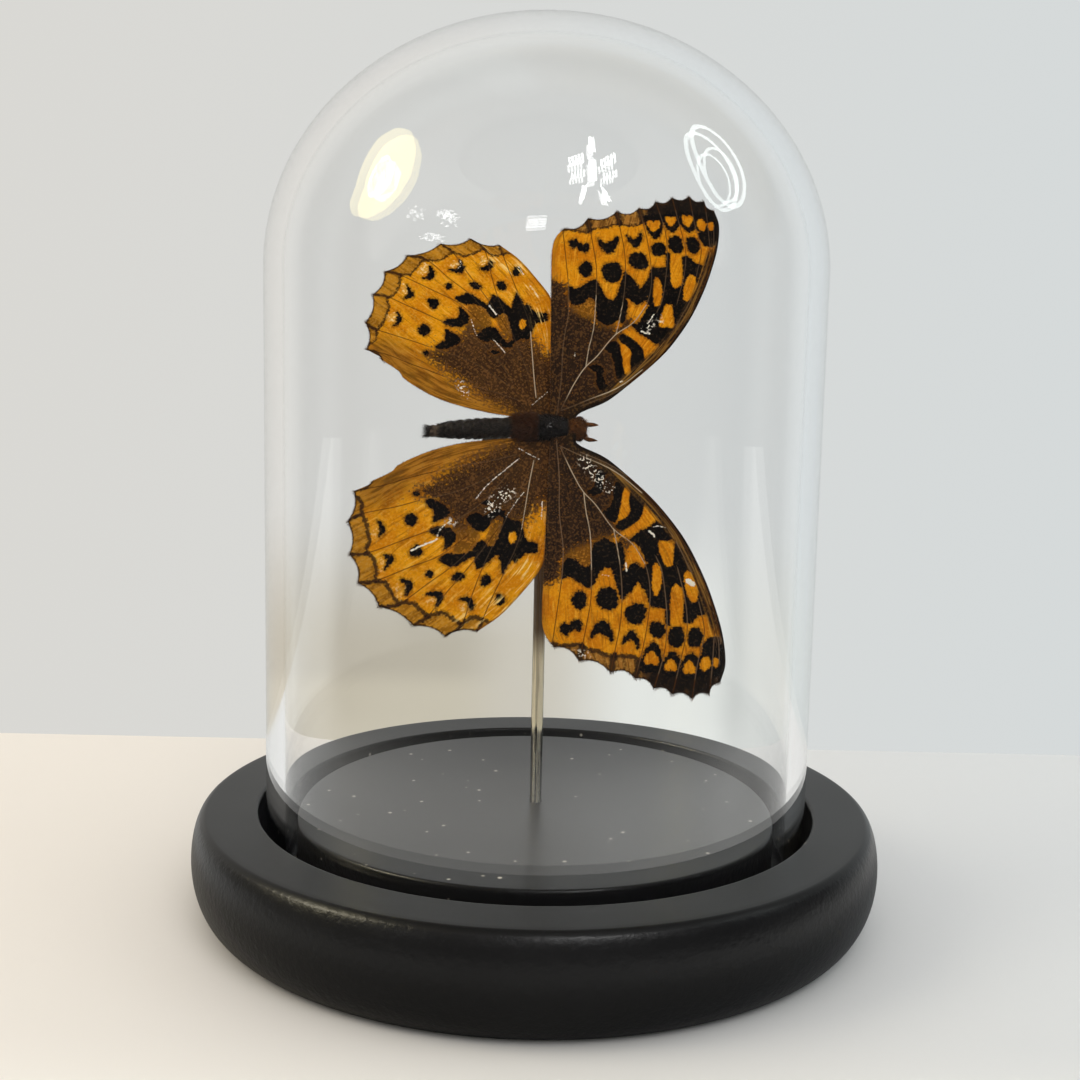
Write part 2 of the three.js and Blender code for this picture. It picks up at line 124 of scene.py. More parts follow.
FOREWING = {
    "columns": 150,
    "rows": 250,
    "reach": 42.2,
    "root_level": 2.9,
    "sag": 0.8,
    "centre": (9.0, 20.0),
    "root": [(1.2, 1.0), (5.2, 1.0)],
    "leading": [(5.2, 1.0), (5.6, 2.9), (10.4, 5.0), (15.3, 8.8), (19.9, 13.3), (23.6, 18.4),
                (26.4, 24.0), (28.2, 29.0), (29.2, 33.0), (29.5, 36.6), (28.8, 39.4)],
    "inner": [(1.2, 1.0), (1.2, 2.9), (1.1, 9.0), (1.1, 17.0), (1.1, 26.0), (1.2, 31.0), (1.8, 33.5),
              (3.2, 35.3)],
    "vein_ends": [(3.2, 35.3), (7.2, 37.3), (12.1, 38.8), (15.9, 39.5), (18.8, 40.9), (21.6, 41.7),
                  (24.6, 42.2), (27.2, 41.3), (28.8, 39.4)],
    "veins": [
        [(2.1, 2.6), (2.8, 8.0), (3.0, 12.6), (3.3, 15.7), (3.9, 19.2), (4.0, 22.1), (3.9, 25.2),
         (3.5, 29.5), (3.0, 34.6)],
        [(6.8, 10.6), (7.3, 13.8), (8.1, 17.4), (8.5, 23.0), (8.6, 27.5), (8.2, 31.0), (7.7, 34.3),
         (7.2, 37.3)],
        [(11.7, 16.2), (12.2, 18.2), (12.9, 21.8), (13.4, 26.4), (13.3, 31.1), (12.7, 35.0), (12.1, 38.8)],
        [(2.8, 3.6), (5.4, 8.4), (6.8, 10.5), (8.7, 12.4), (11.6, 16.1), (14.7, 18.4), (16.8, 21.5),
         (17.7, 25.3), (17.6, 29.7), (17.0, 34.2), (15.9, 39.5)],
        [(18.5, 20.3), (19.5, 22.6), (20.3, 27.9), (20.5, 31.1), (20.2, 35.4), (18.8, 40.9)],
        [(21.9, 21.9), (23.2, 27.0), (23.6, 31.0), (23.2, 34.0), (21.6, 41.7)],
        [(25.3, 27.0), (26.1, 30.4), (26.2, 32.6), (25.3, 36.9), (24.6, 42.2)],
        [(27.8, 31.5), (27.6, 36.1), (27.2, 41.3)],
        [(2.9, 3.4), (6.8, 4.9), (11.8, 6.9), (16.0, 10.1), (19.9, 14.9), (24.2, 22.6), (26.5, 27.2),
         (28.3, 32.4), (28.6, 36.5)],
        [(6.0, 4.1), (11.5, 6.2), (15.9, 9.4), (20.3, 14.3), (24.6, 21.2), (27.3, 27.2), (28.9, 33.2)],
    ],
    "dark": [
        [(4.0, 32.9), (4.6, 33.0), (5.1, 33.5), (5.5, 32.8), (6.4, 32.3), (7.1, 32.7), (7.4, 32.0),
         (7.2, 31.2), (6.6, 30.9), (5.8, 31.3), (5.4, 32.0), (4.7, 31.5), (4.2, 32.0)],
        [(8.7, 33.7), (9.6, 33.0), (10.3, 32.6), (10.9, 33.1), (11.5, 33.2), (12.1, 34.1), (12.4, 33.6),
         (12.0, 32.3), (11.4, 31.2), (10.6, 30.8), (9.8, 31.3), (9.2, 32.3)],
        [(13.6, 34.4), (14.4, 33.7), (15.0, 33.4), (15.6, 33.8), (16.1, 35.0), (16.4, 34.2), (15.9, 32.9),
         (15.3, 32.1), (14.8, 32.2), (14.1, 33.2)],
        [(6.9, 29.3), (7.7, 28.7), (7.9, 27.6), (7.5, 26.6), (6.8, 26.3), (6.0, 27.0), (5.6, 27.9),
         (6.1, 28.6)],
        [(11.5, 29.1), (12.5, 28.7), (12.8, 27.4), (12.4, 25.9), (11.2, 25.5), (10.0, 25.9), (9.5, 27.3),
         (9.7, 28.4), (10.6, 28.9)],
        [(14.8, 31.0), (16.3, 31.0), (16.9, 30.2), (17.2, 28.8), (16.6, 27.9), (15.4, 28.0), (14.2, 28.7),
         (14.0, 30.0)],
        [(18.4, 32.8), (19.6, 33.0), (20.2, 32.1), (20.1, 31.0), (19.1, 30.6), (18.1, 30.8), (17.8, 31.9)],
        [(21.2, 34.1), (22.2, 34.4), (22.9, 33.6), (23.1, 32.3), (22.7, 31.2), (21.5, 31.2), (20.8, 32.3),
         (20.8, 33.5)],
        [(24.0, 34.0), (25.0, 34.2), (25.8, 33.4), (26.0, 32.2), (25.3, 31.1), (24.3, 31.4), (23.8, 32.6)],
        [(26.0, 35.4), (27.6, 35.2), (29.3, 35.5), (29.3, 33.0), (28.0, 32.4), (26.9, 32.7), (26.1, 33.9)],
        [(16.6, 38.4), (16.8, 36.6), (17.4, 35.0), (18.4, 33.7), (19.1, 34.1), (19.7, 35.4), (19.9, 36.8),
         (20.0, 38.4)],
        [(19.9, 38.8), (20.0, 37.0), (20.6, 35.8), (21.4, 35.0), (22.1, 35.4), (22.6, 36.4), (22.8, 38.8)],
        [(22.8, 39.0), (22.8, 37.0), (23.4, 35.9), (24.4, 35.1), (25.1, 35.6), (25.6, 36.6), (25.6, 39.0)],
        [(25.5, 38.8), (25.4, 36.0), (26.2, 35.2), (29.4, 35.0), (29.4, 38.0), (27.6, 38.6)],
        [(3.9, 24.6), (5.0, 24.1), (6.2, 24.7), (8.3, 26.0), (9.0, 25.0), (9.8, 23.0), (10.7, 22.3),
         (11.6, 22.3), (12.3, 24.0), (13.3, 27.6), (14.3, 26.3), (15.0, 25.7), (15.7, 24.3), (16.4, 24.9),
         (17.3, 26.3), (17.9, 28.3), (19.2, 28.2), (20.5, 28.4), (20.3, 25.0), (19.3, 26.1), (18.2, 26.1),
         (17.7, 24.4), (16.8, 22.6), (15.9, 21.8), (15.1, 21.4), (14.3, 22.4), (13.3, 22.9), (12.7, 21.0),
         (12.2, 18.9), (11.4, 18.3), (10.3, 17.7), (9.4, 18.4), (8.6, 18.7), (8.4, 22.3), (7.4, 22.8),
         (6.5, 21.9), (5.6, 21.2), (4.5, 21.4), (4.0, 22.5)],
        [(20.3, 25.0), (20.3, 31.0), (20.9, 31.0), (21.1, 27.5), (21.0, 25.6), (22.1, 24.6), (23.1, 25.2),
         (23.0, 30.6), (24.2, 30.4), (25.1, 29.2), (26.4, 28.9), (26.0, 27.4), (25.3, 25.6), (24.9, 26.8),
         (24.2, 27.4), (23.4, 26.0), (23.1, 23.8), (24.4, 21.9), (24.0, 20.9), (22.5, 18.6), (21.6, 17.8),
         (21.3, 20.9), (20.3, 22.3), (19.7, 21.5), (19.4, 23.6)],
        [(16.7, 22.2), (17.6, 24.6), (18.0, 26.9), (19.3, 27.2), (20.7, 25.8), (20.8, 21.9), (19.4, 19.0),
         (18.2, 20.6), (17.3, 21.4)],
        [(14.3, 17.9), (15.3, 18.1), (16.1, 19.2), (17.4, 21.6), (18.4, 22.0), (18.9, 19.6), (18.8, 17.7),
         (20.1, 17.6), (21.0, 17.2), (20.2, 15.9), (19.3, 15.0), (18.3, 14.6), (17.5, 15.5), (16.3, 16.1),
         (15.1, 17.0)],
        [(12.0, 15.9), (12.9, 16.3), (13.9, 15.9), (15.0, 15.1), (16.0, 14.1), (16.4, 12.2), (16.2, 11.1),
         (15.4, 10.2), (14.6, 9.6), (14.1, 10.6), (14.0, 11.7), (14.4, 13.1), (13.7, 14.1), (12.6, 14.9)],
        [(9.8, 13.6), (10.9, 14.8), (11.8, 15.0), (12.4, 14.3), (12.6, 13.0), (12.9, 11.8), (12.8, 10.6),
         (13.3, 9.2), (13.6, 8.7), (12.9, 8.1), (12.1, 8.3), (11.7, 9.4), (11.4, 11.9), (10.9, 12.9)],
        [(12.2, 18.6), (12.7, 21.0), (13.3, 22.9), (13.6, 21.4), (13.5, 19.8), (12.9, 18.2)],
        [(7.2, 10.4), (8.4, 10.9), (9.5, 10.4), (9.8, 9.7), (9.5, 8.8), (9.9, 7.6), (10.6, 6.7),
         (9.8, 6.2), (8.9, 6.9), (8.5, 7.9), (8.7, 8.9), (8.4, 9.7), (7.7, 10.1)],
    ],
    "glow": [
        [(18.1, 21.4), (18.0, 24.5), (18.3, 26.4), (18.9, 26.5), (19.4, 25.0), (19.5, 22.9), (18.9, 21.3)],
        [(21.0, 25.2), (20.9, 28.0), (21.1, 31.0), (22.6, 31.0), (22.9, 28.4), (22.6, 25.4), (21.8, 24.4)],
        [(24.3, 27.2), (25.0, 27.0), (25.2, 25.8), (24.7, 24.1), (24.1, 22.6), (23.5, 22.1), (22.9, 22.9),
         (23.1, 24.5), (23.5, 26.1)],
        [(18.8, 17.7), (19.1, 19.4), (19.7, 21.0), (20.2, 21.8), (21.1, 21.6), (21.2, 20.4), (20.6, 19.0),
         (20.0, 17.7)],
        [(13.0, 17.3), (14.0, 17.1), (15.5, 15.9), (16.9, 15.0), (17.9, 14.5), (17.7, 13.2), (16.8, 11.4),
         (16.5, 11.8), (16.2, 13.7), (15.6, 14.6), (14.4, 15.6), (13.3, 16.4)],
        [(12.4, 14.4), (13.0, 14.6), (13.8, 13.9), (14.2, 13.0), (13.9, 11.6), (14.0, 10.3), (13.9, 9.1),
         (13.2, 9.4), (12.9, 10.8), (12.8, 12.2)],
        [(26.3, 32.3), (27.6, 32.4), (28.4, 32.0), (27.9, 30.4), (27.0, 29.0), (26.6, 30.6)],
        [(25.7, 37.4), (26.4, 37.9), (27.2, 37.2), (27.3, 36.2), (26.9, 35.5), (26.2, 35.7), (25.7, 36.5)],
        [(27.6, 36.9), (28.2, 37.3), (28.6, 36.5), (28.3, 35.6), (27.8, 35.7)],
    ],
    "hearts": [(17.1, 19.5, 35.0, 37.3), (20.3, 22.2, 36.1, 38.1), (23.1, 25.1, 36.1, 38.4)],
    "dull_and_sheen": [
        [(4.3, 21.6), (5.8, 21.2), (6.8, 22.2), (8.3, 22.8), (8.5, 18.4), (7.0, 18.2), (5.0, 18.6),
         (4.2, 19.6)],
        [(8.6, 18.4), (9.6, 18.4), (10.4, 17.6), (12.0, 18.4), (11.4, 16.4), (10.0, 15.6), (8.6, 16.6)],
        [(9.2, 13.0), (10.4, 13.4), (11.3, 12.0), (11.6, 10.0), (11.2, 8.2), (10.0, 9.4), (9.4, 11.2)],
        # A painted sheen: brown where the black patch glints.
        [(16.1, 17.3), (16.3, 18.9), (17.2, 19.8), (18.0, 19.1), (17.7, 17.5)],
    ],
    "pale": [],
    "brown": [(-3, -2), (-3, 26.0), (1.2, 26.0), (3.8, 25.0), (4.1, 22.0), (4.6, 20.4), (6.4, 19.4),
              (8.4, 18.7), (10.2, 17.5), (12.0, 17.4), (13.2, 19.2), (14.2, 19.6), (14.6, 18.2),
              (13.4, 16.9), (12.2, 15.6), (11.4, 14.4), (11.8, 12.0), (12.2, 10.0), (12.9, 8.3),
              (13.2, 7.4), (12.4, 6.0), (10.4, 3.0), (6.0, -2)],
    "border": [(2.8, 35.1), (4.4, 35.2), (5.7, 34.9), (7.1, 34.8), (8.6, 35.5), (10.4, 35.8),
               (11.4, 36.2), (12.5, 36.3), (13.6, 36.2), (15.2, 36.2), (16.0, 36.5), (17.0, 37.4),
               (18.3, 37.6), (19.5, 37.5), (20.8, 38.2), (22.2, 38.1), (23.8, 38.6), (25.0, 38.4),
               (26.4, 38.0), (27.2, 37.4), (28.5, 37.3), (29.2, 35.8)],
    "border_outside": [(34, 36), (34, 48), (0, 48), (1, 36)],
    "bright": [
        [(6.8, 10.6), (7.3, 13.8), (8.1, 17.4), (8.5, 23.0)],
        [(11.7, 16.2), (12.2, 18.2), (12.9, 21.8)],
        [(2.8, 3.6), (5.4, 8.4), (6.8, 10.5), (8.7, 12.4), (11.6, 16.1), (14.7, 18.4), (16.8, 21.5)],
        [(2.9, 3.4), (6.8, 4.9), (11.8, 6.9), (16.0, 10.1)],
    ],
}

HINDWING = {
    "columns": 190,
    "rows": 180,
    "reach": 34.8,
    "root_level": 6.0,
    "sag": 0.6,
    "centre": (-9.0, 17.0),
    "root": [(-1.2, 1.2), (1.7, 1.2)],
    "leading": [(1.7, 1.2), (2.1, 6.0), (2.4, 10.0), (2.6, 15.0), (2.2, 19.5), (1.2, 23.2), (-1.2, 26.9),
                (-4.3, 30.8), (-7.6, 33.6)],
    "inner": [(-1.2, 1.2), (-4.0, 2.1), (-9.0, 3.0), (-12.6, 3.8), (-16.6, 5.1), (-20.3, 6.9),
              (-22.7, 8.4), (-23.6, 9.5), (-26.4, 11.3)],
    "vein_ends": [(-26.4, 11.3), (-29.1, 13.1), (-29.5, 18.1), (-28.6, 23.3), (-26.8, 27.7),
                  (-23.2, 31.1), (-17.6, 33.6), (-12.5, 34.8), (-7.6, 33.6)],
    "veins": [
        [(-0.6, 4.0), (-1.6, 9.2), (-1.9, 13.0), (-2.2, 17.0), (-2.8, 19.8), (-4.0, 23.2), (-6.0, 28.6),
         (-7.6, 33.6)],
        [(-2.4, 9.0), (-4.6, 15.0), (-6.5, 20.0), (-7.9, 24.0), (-9.0, 28.0), (-10.2, 32.8), (-12.5, 34.8)],
        [(-5.6, 16.6), (-8.5, 21.5), (-10.5, 24.5), (-13.0, 28.0), (-15.5, 31.9), (-17.6, 33.6)],
        [(-9.0, 19.6), (-12.1, 23.4), (-16.0, 26.8), (-20.1, 30.4), (-23.2, 31.1)],
        [(-10.5, 18.6), (-14.5, 22.2), (-19.0, 24.5), (-24.1, 27.1), (-26.8, 27.7)],
        [(-5.0, 8.0), (-8.6, 13.0), (-12.8, 16.5), (-17.0, 18.6), (-20.5, 20.3), (-26.0, 22.9),
         (-28.6, 23.3)],
        [(-5.0, 7.0), (-9.0, 9.6), (-13.0, 11.8), (-18.0, 13.5), (-22.0, 15.0), (-27.7, 16.8),
         (-29.5, 18.1)],
        [(-4.0, 5.0), (-8.0, 6.4), (-12.0, 7.4), (-20.0, 10.0), (-25.0, 12.0), (-29.1, 13.1)],
    ],
    "dark": [
        [(-20.7, 16.9), (-20.4, 17.6), (-19.7, 17.9), (-19.0, 17.6), (-18.7, 16.9), (-19.0, 16.2),
         (-19.7, 15.9), (-20.4, 16.2)],
        [(-19.4, 22.5), (-18.6, 22.7), (-17.9, 22.6), (-17.4, 22.0), (-17.9, 21.3), (-18.4, 20.8),
         (-19.0, 21.5)],
        [(-16.5, 25.4), (-16.0, 25.9), (-15.4, 25.5), (-15.5, 24.9), (-16.1, 24.8)],
        [(-12.5, 25.9), (-11.6, 26.1), (-10.8, 25.6), (-10.4, 25.2), (-11.3, 24.7), (-12.0, 25.0)],
        [(-7.7, 26.4), (-6.9, 26.3), (-6.3, 25.5), (-6.8, 24.7), (-7.4, 24.8), (-7.9, 25.6)],
        [(-4.8, 29.2), (-4.2, 29.1), (-3.8, 28.4), (-4.4, 27.7), (-5.0, 27.4), (-5.3, 28.2)],
        [(-24.4, 20.2), (-23.9, 19.6), (-23.5, 18.9), (-24.0, 18.0), (-25.1, 17.4), (-24.4, 18.2),
         (-24.3, 19.0)],
        [(-23.0, 25.3), (-22.4, 24.5), (-21.8, 23.7), (-21.9, 23.0), (-23.5, 22.8), (-22.7, 23.5),
         (-22.7, 24.1)],
        [(-19.3, 29.2), (-18.6, 28.1), (-18.4, 27.2), (-18.8, 26.6), (-20.5, 26.5), (-19.4, 27.2),
         (-19.4, 28.1)],
        [(-14.4, 30.7), (-13.8, 29.6), (-13.4, 28.8), (-13.9, 27.9), (-14.8, 28.0), (-16.2, 28.5),
         (-14.6, 28.6), (-14.3, 29.4)],
        [(-9.1, 30.6), (-8.5, 29.8), (-8.9, 28.9), (-9.8, 28.3), (-11.0, 28.9), (-10.0, 29.0),
         (-9.4, 29.5)],
        [(-14.8, 23.0), (-13.8, 23.4), (-13.0, 23.9), (-11.9, 23.6), (-11.1, 22.9), (-10.1, 22.2),
         (-9.2, 21.8), (-8.9, 22.8), (-8.6, 23.8), (-7.9, 23.5), (-7.0, 22.6), (-5.4, 21.0), (-4.9, 22.8),
         (-4.7, 24.4), (-4.0, 23.2), (-3.3, 21.8), (-2.7, 22.2), (-1.9, 21.1), (-1.1, 20.5), (0.6, 20.5),
         (0.5, 19.1), (-0.6, 18.9), (-1.4, 18.6), (-2.2, 16.6), (-2.5, 15.7), (-4.0, 15.7), (-5.0, 14.8),
         (-5.2, 16.8), (-5.6, 18.3), (-6.1, 20.0), (-7.2, 20.3), (-8.1, 19.3), (-9.0, 19.9), (-9.6, 20.9),
         (-10.4, 21.6), (-11.6, 21.9), (-12.6, 21.8), (-13.7, 22.0)],
        [(-16.7, 18.6), (-15.8, 19.0), (-14.4, 19.1), (-13.9, 19.9), (-14.1, 21.3), (-13.2, 20.6),
         (-12.4, 19.5), (-12.5, 18.6), (-13.6, 17.7), (-15.0, 17.7), (-16.1, 18.0)],
        [(-16.2, 17.2), (-15.2, 16.5), (-14.2, 16.0), (-13.7, 15.2), (-14.4, 14.4), (-15.6, 13.8),
         (-17.0, 13.4), (-17.8, 13.8), (-17.0, 14.5), (-16.1, 15.2)],
        [(-10.9, 16.1), (-10.0, 17.3), (-9.0, 17.8), (-8.0, 17.6), (-7.4, 16.6), (-6.8, 15.5),
         (-6.0, 14.9), (-5.0, 15.3), (-5.2, 14.2), (-6.4, 14.0), (-7.4, 14.9), (-8.4, 15.5), (-9.5, 15.0),
         (-10.6, 15.4)],
        [(-19.8, 12.8), (-19.3, 13.1), (-18.8, 12.7), (-19.2, 12.2)],
        [(-9.0, 13.2), (-8.2, 13.5), (-7.2, 13.2), (-8.0, 12.7)],
    ],
    "glow": [[(-4.2, 18.4), (-3.7, 19.4), (-3.1, 19.2), (-2.9, 18.3), (-3.3, 17.4), (-3.9, 17.5)]],
    "hearts": [],
    "dull_and_sheen": [
        [(-8.0, 19.6), (-7.2, 20.1), (-6.2, 19.8), (-5.7, 18.3), (-5.1, 16.8), (-5.6, 15.6), (-6.6, 16.1),
         (-7.4, 17.7)],
        [(-12.8, 21.4), (-11.5, 21.7), (-10.3, 21.2), (-9.3, 20.0), (-8.4, 18.5), (-9.0, 17.9),
         (-10.3, 17.4), (-12.0, 16.4), (-13.0, 17.4), (-12.1, 19.4)],
        [(-9.4, 14.8), (-7.4, 14.6), (-6.2, 13.8), (-7.2, 13.4), (-9.0, 13.4)],
    ],
    "pale": [
        [(-26.3, 19.4), (-25.2, 20.3), (-24.4, 20.1), (-24.3, 19.0), (-24.5, 18.2), (-25.4, 17.8)],
        [(-23.8, 26.4), (-23.1, 25.4), (-22.8, 24.2), (-22.9, 23.5), (-24.0, 23.4), (-23.8, 24.8)],
        [(-20.9, 29.4), (-20.0, 30.0), (-19.4, 29.0), (-19.4, 27.5), (-20.9, 27.1), (-21.6, 28.0)],
        [(-16.0, 29.8), (-14.9, 30.4), (-14.4, 29.4), (-14.7, 28.7), (-16.1, 28.8)],
        [(-10.9, 30.9), (-9.8, 31.4), (-9.3, 30.2), (-10.0, 29.2), (-11.0, 29.3)],
    ],
    "brown": [(3.6, -2), (3.8, 4.0), (3.8, 9.0), (3.2, 12.0), (0.6, 13.6), (-1.2, 16.0), (-2.6, 17.0),
              (-5.0, 16.4), (-8.6, 17.2), (-10.8, 18.0), (-12.8, 18.4), (-14.4, 16.6), (-16.6, 14.4),
              (-19.4, 13.2), (-19.8, 11.6), (-16.0, 9.0), (-12.0, 6.2), (-8.0, 4.0), (-5.0, 2.4), (-4, -2)],
    "border": [(-30.0, 13.6), (-28.0, 14.6), (-27.4, 16.8), (-26.5, 18.4), (-26.2, 19.8), (-25.8, 21.0),
               (-26.1, 22.5), (-25.0, 23.6), (-24.3, 25.2), (-24.1, 27.1), (-22.6, 27.3), (-21.8, 28.4),
               (-20.4, 30.1), (-18.6, 30.1), (-17.4, 30.5), (-15.5, 31.9), (-14.4, 31.5), (-13.4, 31.2),
               (-12.2, 31.7), (-10.3, 32.7), (-9.6, 32.2), (-8.6, 31.5), (-7.2, 31.7), (-5.6, 32.3)],
    "border_outside": [(-4.0, 40.0), (-36.0, 40.0), (-36.0, 12.0)],
    "bright": [[(-1.2, 5.6), (-1.6, 9.2), (-1.9, 13.0), (-2.2, 17.0)]],
}

# A heart in a box one wide and one high.
HEART = [(0.5, 0), (0.85, 0.35), (1, 0.72), (0.9, 1), (0.62, 0.98), (0.5, 0.84), (0.38, 0.98), (0.1, 1),
         (0, 0.72), (0.15, 0.35)]

# The upper sides' colours, as screen values; how wide and strong the silky strip along the inner edge is;
# and over which distances from its outline the brown dusting thins out.
TONES = {
    "forewing": {
        "deep": (200, 118, 2), "light": (218, 140, 8), "shade": (146, 84, 4), "shine": (238, 178, 52),
        "bare": [(30, 20, 12), (50, 32, 17)], "tan": (108, 72, 36), "cell": [(110, 70, 22), (164, 110, 42)],
        "strip": (1.4, 0.3), "strip_strength": 0.4, "dusting": (-1.8, 1.6),
    },
    "hindwing": {
        "deep": (208, 128, 3), "light": (226, 152, 10), "shade": (146, 84, 4), "shine": (244, 192, 84),
        "bare": [(46, 29, 13), (72, 46, 20)], "tan": (124, 82, 40), "cell": [(144, 93, 12), (194, 132, 30)],
        "strip": (7.0, 1.5), "strip_strength": 0.85, "dusting": (-3.4, 2.6),
    },
}
# Added to a wing's seed for its underside.
UNDERSIDE_SEED = 4

# How each wing differs: the noise's seed, how wide the border's inner line is and where it breaks up, how
# strong the pale spots are, where the dark tufts on the vein ends start and stop, and how far the veins show
# on the brown.
LOOKS = {
    "left_forewing": {
        "seed": 1,
        "line": 0.4,
        "line_break": 0.0,
        "pale": 0.0,
        "tuft": (0.75, 0.3),
        "veins": 0.3,
    },
    "right_forewing": {
        "seed": 2,
        "line": 1.1,
        "line_break": -0.15,
        "pale": 0.0,
        "tuft": (0.75, 0.3),
        "veins": 0.55,
    },
    "left_hindwing": {
        "seed": 3,
        "line": 0.5,
        "line_break": 0.0,
        "pale": 0.75,
        "tuft": (0.3, 0.05),
        "veins": 0.12,
    },
    "right_hindwing": {
        "seed": 4,
        "line": 1.1,
        "line_break": -0.15,
        "pale": 0.35,
        "tuft": (0.4, 0.1),
        "veins": 0.2,
    },
}

# Cracks and scratches down to the clear membrane, and painted glints and highlights drawn in the same white,
# each with its half width.
WEAR_AND_GLINTS = {
    "left_forewing": [
        (0.12, [(15.9, 16.9), (16.5, 16.6), (17.3, 16.5)]),
        # A painted highlight on the black patch.
        (0.08, [(17.0, 18.2), (17.5, 19.0), (18.0, 19.9)]),
        (0.06, [(5.0, 12.4), (5.0, 12.9)]),
        (0.08, [(12.3, 8.0), (12.9, 8.2)]),
    ],
    "right_forewing": [
        (0.4, [(23.6, 23.9), (24.3, 24.3)]),
        (0.16, [(17.3, 16.2), (17.9, 16.6), (18.1, 17.0)]),
        (0.06, [(17.9, 15.5), (18.8, 15.3), (19.8, 15.5)]),
        (0.04, [(10.2, 23.6), (11.4, 23.7)]),
        (0.12, [(13.8, 21.6), (14.0, 22.8)]),
    ],
    "left_hindwing": [
        (0.06, [(-8.3, 15.5), (-7.2, 14.2), (-6.4, 13.1)]),
        (0.1, [(-9.2, 21.9), (-8.6, 21.0), (-7.9, 20.0)]),
        # Painted glints on wrinkles: this one and the next.
        (0.07, [(-4.4, 29.4), (-3.4, 27.8)]),
        (0.05, [(-2.3, 25.6), (-1.0, 23.6)]),
        (0.05, [(-1.8, 4.4), (-0.6, 5.5), (0.6, 6.6)]),
        (0.04, [(-12.0, 19.0), (-11.4, 17.0), (-11.0, 16.0)]),
        # A painted glint.
        (0.05, [(-14.6, 28.6), (-14.0, 29.4), (-14.2, 30.2)]),
    ],
    "right_hindwing": [
        (0.12, [(-19.2, 21.9), (-17.6, 20.9), (-16.0, 20.1), (-15.3, 19.6)]),
        (0.07, [(-15.4, 19.6), (-15.0, 18.2), (-14.2, 17.2), (-13.4, 16.6)]),
        (0.05, [(-9.9, 12.8), (-8.2, 10.2), (-6.2, 8.2), (-3.6, 5.6)]),
        (0.04, [(-4.8, 15.2), (-3.6, 12.9), (-2.4, 11.0)]),
        (0.06, [(0.7, 12.2), (0.8, 15.0)]),
        (0.05, [(-3.8, 3.9), (-1.8, 4.8), (-0.4, 5.4)]),
    ],
}

# Patches where worn scales leave a white frost; the first on the left forewing is a painted highlight on its
# black patch.
FROST_AND_GLINTS = {
    "left_forewing": [(0.5, [(16.6, 17.2), (17.6, 18.2)]), (0.3, [(18.9, 19.4), (19.1, 18.6)])],
    "right_forewing": [(0.8, [(6.6, 5.4), (8.6, 7.6), (10.8, 9.6)]), (0.4, [(6.8, 36.0), (8.4, 36.3)])],
    "left_hindwing": [(0.5, [(-13.6, 7.6), (-12.6, 5.8)])],
    "right_hindwing": [
        (1.0, [(-7.2, 14.2), (-6.4, 12.4), (-4.8, 11.2)]),
        (0.4, [(-13.8, 16.6), (-13.0, 16.8)]),
    ],
}

# Silver spots on the underside of the hindwing and of the forewing's tip: [a, b, radius].
SILVER = {
    "forewing": [(26.6, 38.4, 0.8), (24.4, 39.6, 0.8), (21.6, 39.4, 0.7), (27.4, 33.8, 0.7),
                 (25.2, 35.6, 0.6)],
    "hindwing": [(-25.4, 15.6, 1.1), (-24.8, 20.4, 1.2), (-22.6, 25.0, 1.3), (-18.8, 28.6, 1.3),
                 (-14.0, 30.4, 1.2), (-9.2, 30.6, 1.1), (-20.6, 13.0, 1.0), (-19.4, 17.8, 1.2),
                 (-17.2, 21.8, 1.3), (-13.6, 23.6, 1.2), (-9.6, 24.0, 1.3), (-5.2, 24.2, 1.2),
                 (-12.4, 14.4, 1.0), (-9.2, 17.4, 1.1), (-5.4, 17.2, 1.0), (-6.2, 10.6, 0.8),
                 (-2.2, 9.6, 0.7)],
}

# ---- Body ----

# [a, half width, half depth, sideways shift] from the tip of the abdomen to the face.
TORSO = [(-18.6, 0.55, 0.5, -0.95), (-18.0, 0.85, 0.8, -0.9), (-16.6, 1.1, 1.1, -0.75),
         (-15.4, 1.35, 1.4, -0.65), (-12.0, 1.6, 1.8, -0.45), (-8.5, 1.7, 2.0, -0.3),
         (-5.6, 1.6, 1.9, -0.15), (-4.6, 1.7, 2.0, -0.1), (-3.2, 2.0, 2.5, -0.05), (-0.5, 2.1, 2.7, 0.0),
         (2.0, 2.05, 2.6, 0.0), (3.6, 1.7, 2.2, 0.0), (4.2, 1.4, 1.5, -0.05), (4.8, 1.65, 1.5, -0.1),
         (5.8, 1.6, 1.6, -0.1), (6.6, 1.2, 1.3, -0.1), (7.0, 0.6, 0.7, -0.1)]
SEGMENTS = {"first": -17.2, "last": -5.4, "count": 8, "groove": 0.12, "width": 0.22}
EYE = {"radius": 0.9, "along": 5.8, "sideways": 1.15, "depth": 0.1, "sides": 40}
# Where along the body the face's colour lies, which the limbs take too.
FACE_ALONG = 5.0

# Stations along each limb: [a, sideways, depth below the body's axis, radius].
PALPS = [
    [(6.4, 0.7, 0.4, 0.3), (7.4, 0.6, 0.3, 0.38), (8.2, 0.6, 0.2, 0.3), (8.9, 0.55, 0.1, 0.06)],
    [(6.2, -1.2, 0.4, 0.3), (7.2, -1.75, 0.3, 0.36), (8.0, -1.85, 0.2, 0.3), (8.8, -1.95, 0.1, 0.06)],
]
LEGS = [
    [(2.2, 1.0, 2.0, 0.35), (4.2, 2.0, 3.2, 0.3), (3.0, 1.3, 4.2, 0.22), (5.2, 0.9, 4.6, 0.12)],
    [(2.2, -1.0, 2.0, 0.35), (4.2, -2.0, 3.2, 0.3), (3.0, -1.3, 4.2, 0.22), (5.2, -0.9, 4.6, 0.12)],
    [(-2.0, 1.0, 2.0, 0.35), (-3.6, 1.6, 3.1, 0.3), (-6.6, 1.0, 2.9, 0.22), (-9.8, 0.6, 2.6, 0.12)],
    [(-2.0, -1.0, 2.0, 0.35), (-3.6, -2.1, 3.1, 0.3), (-6.6, -2.2, 2.4, 0.22), (-9.8, -2.25, 1.4, 0.12)],
]
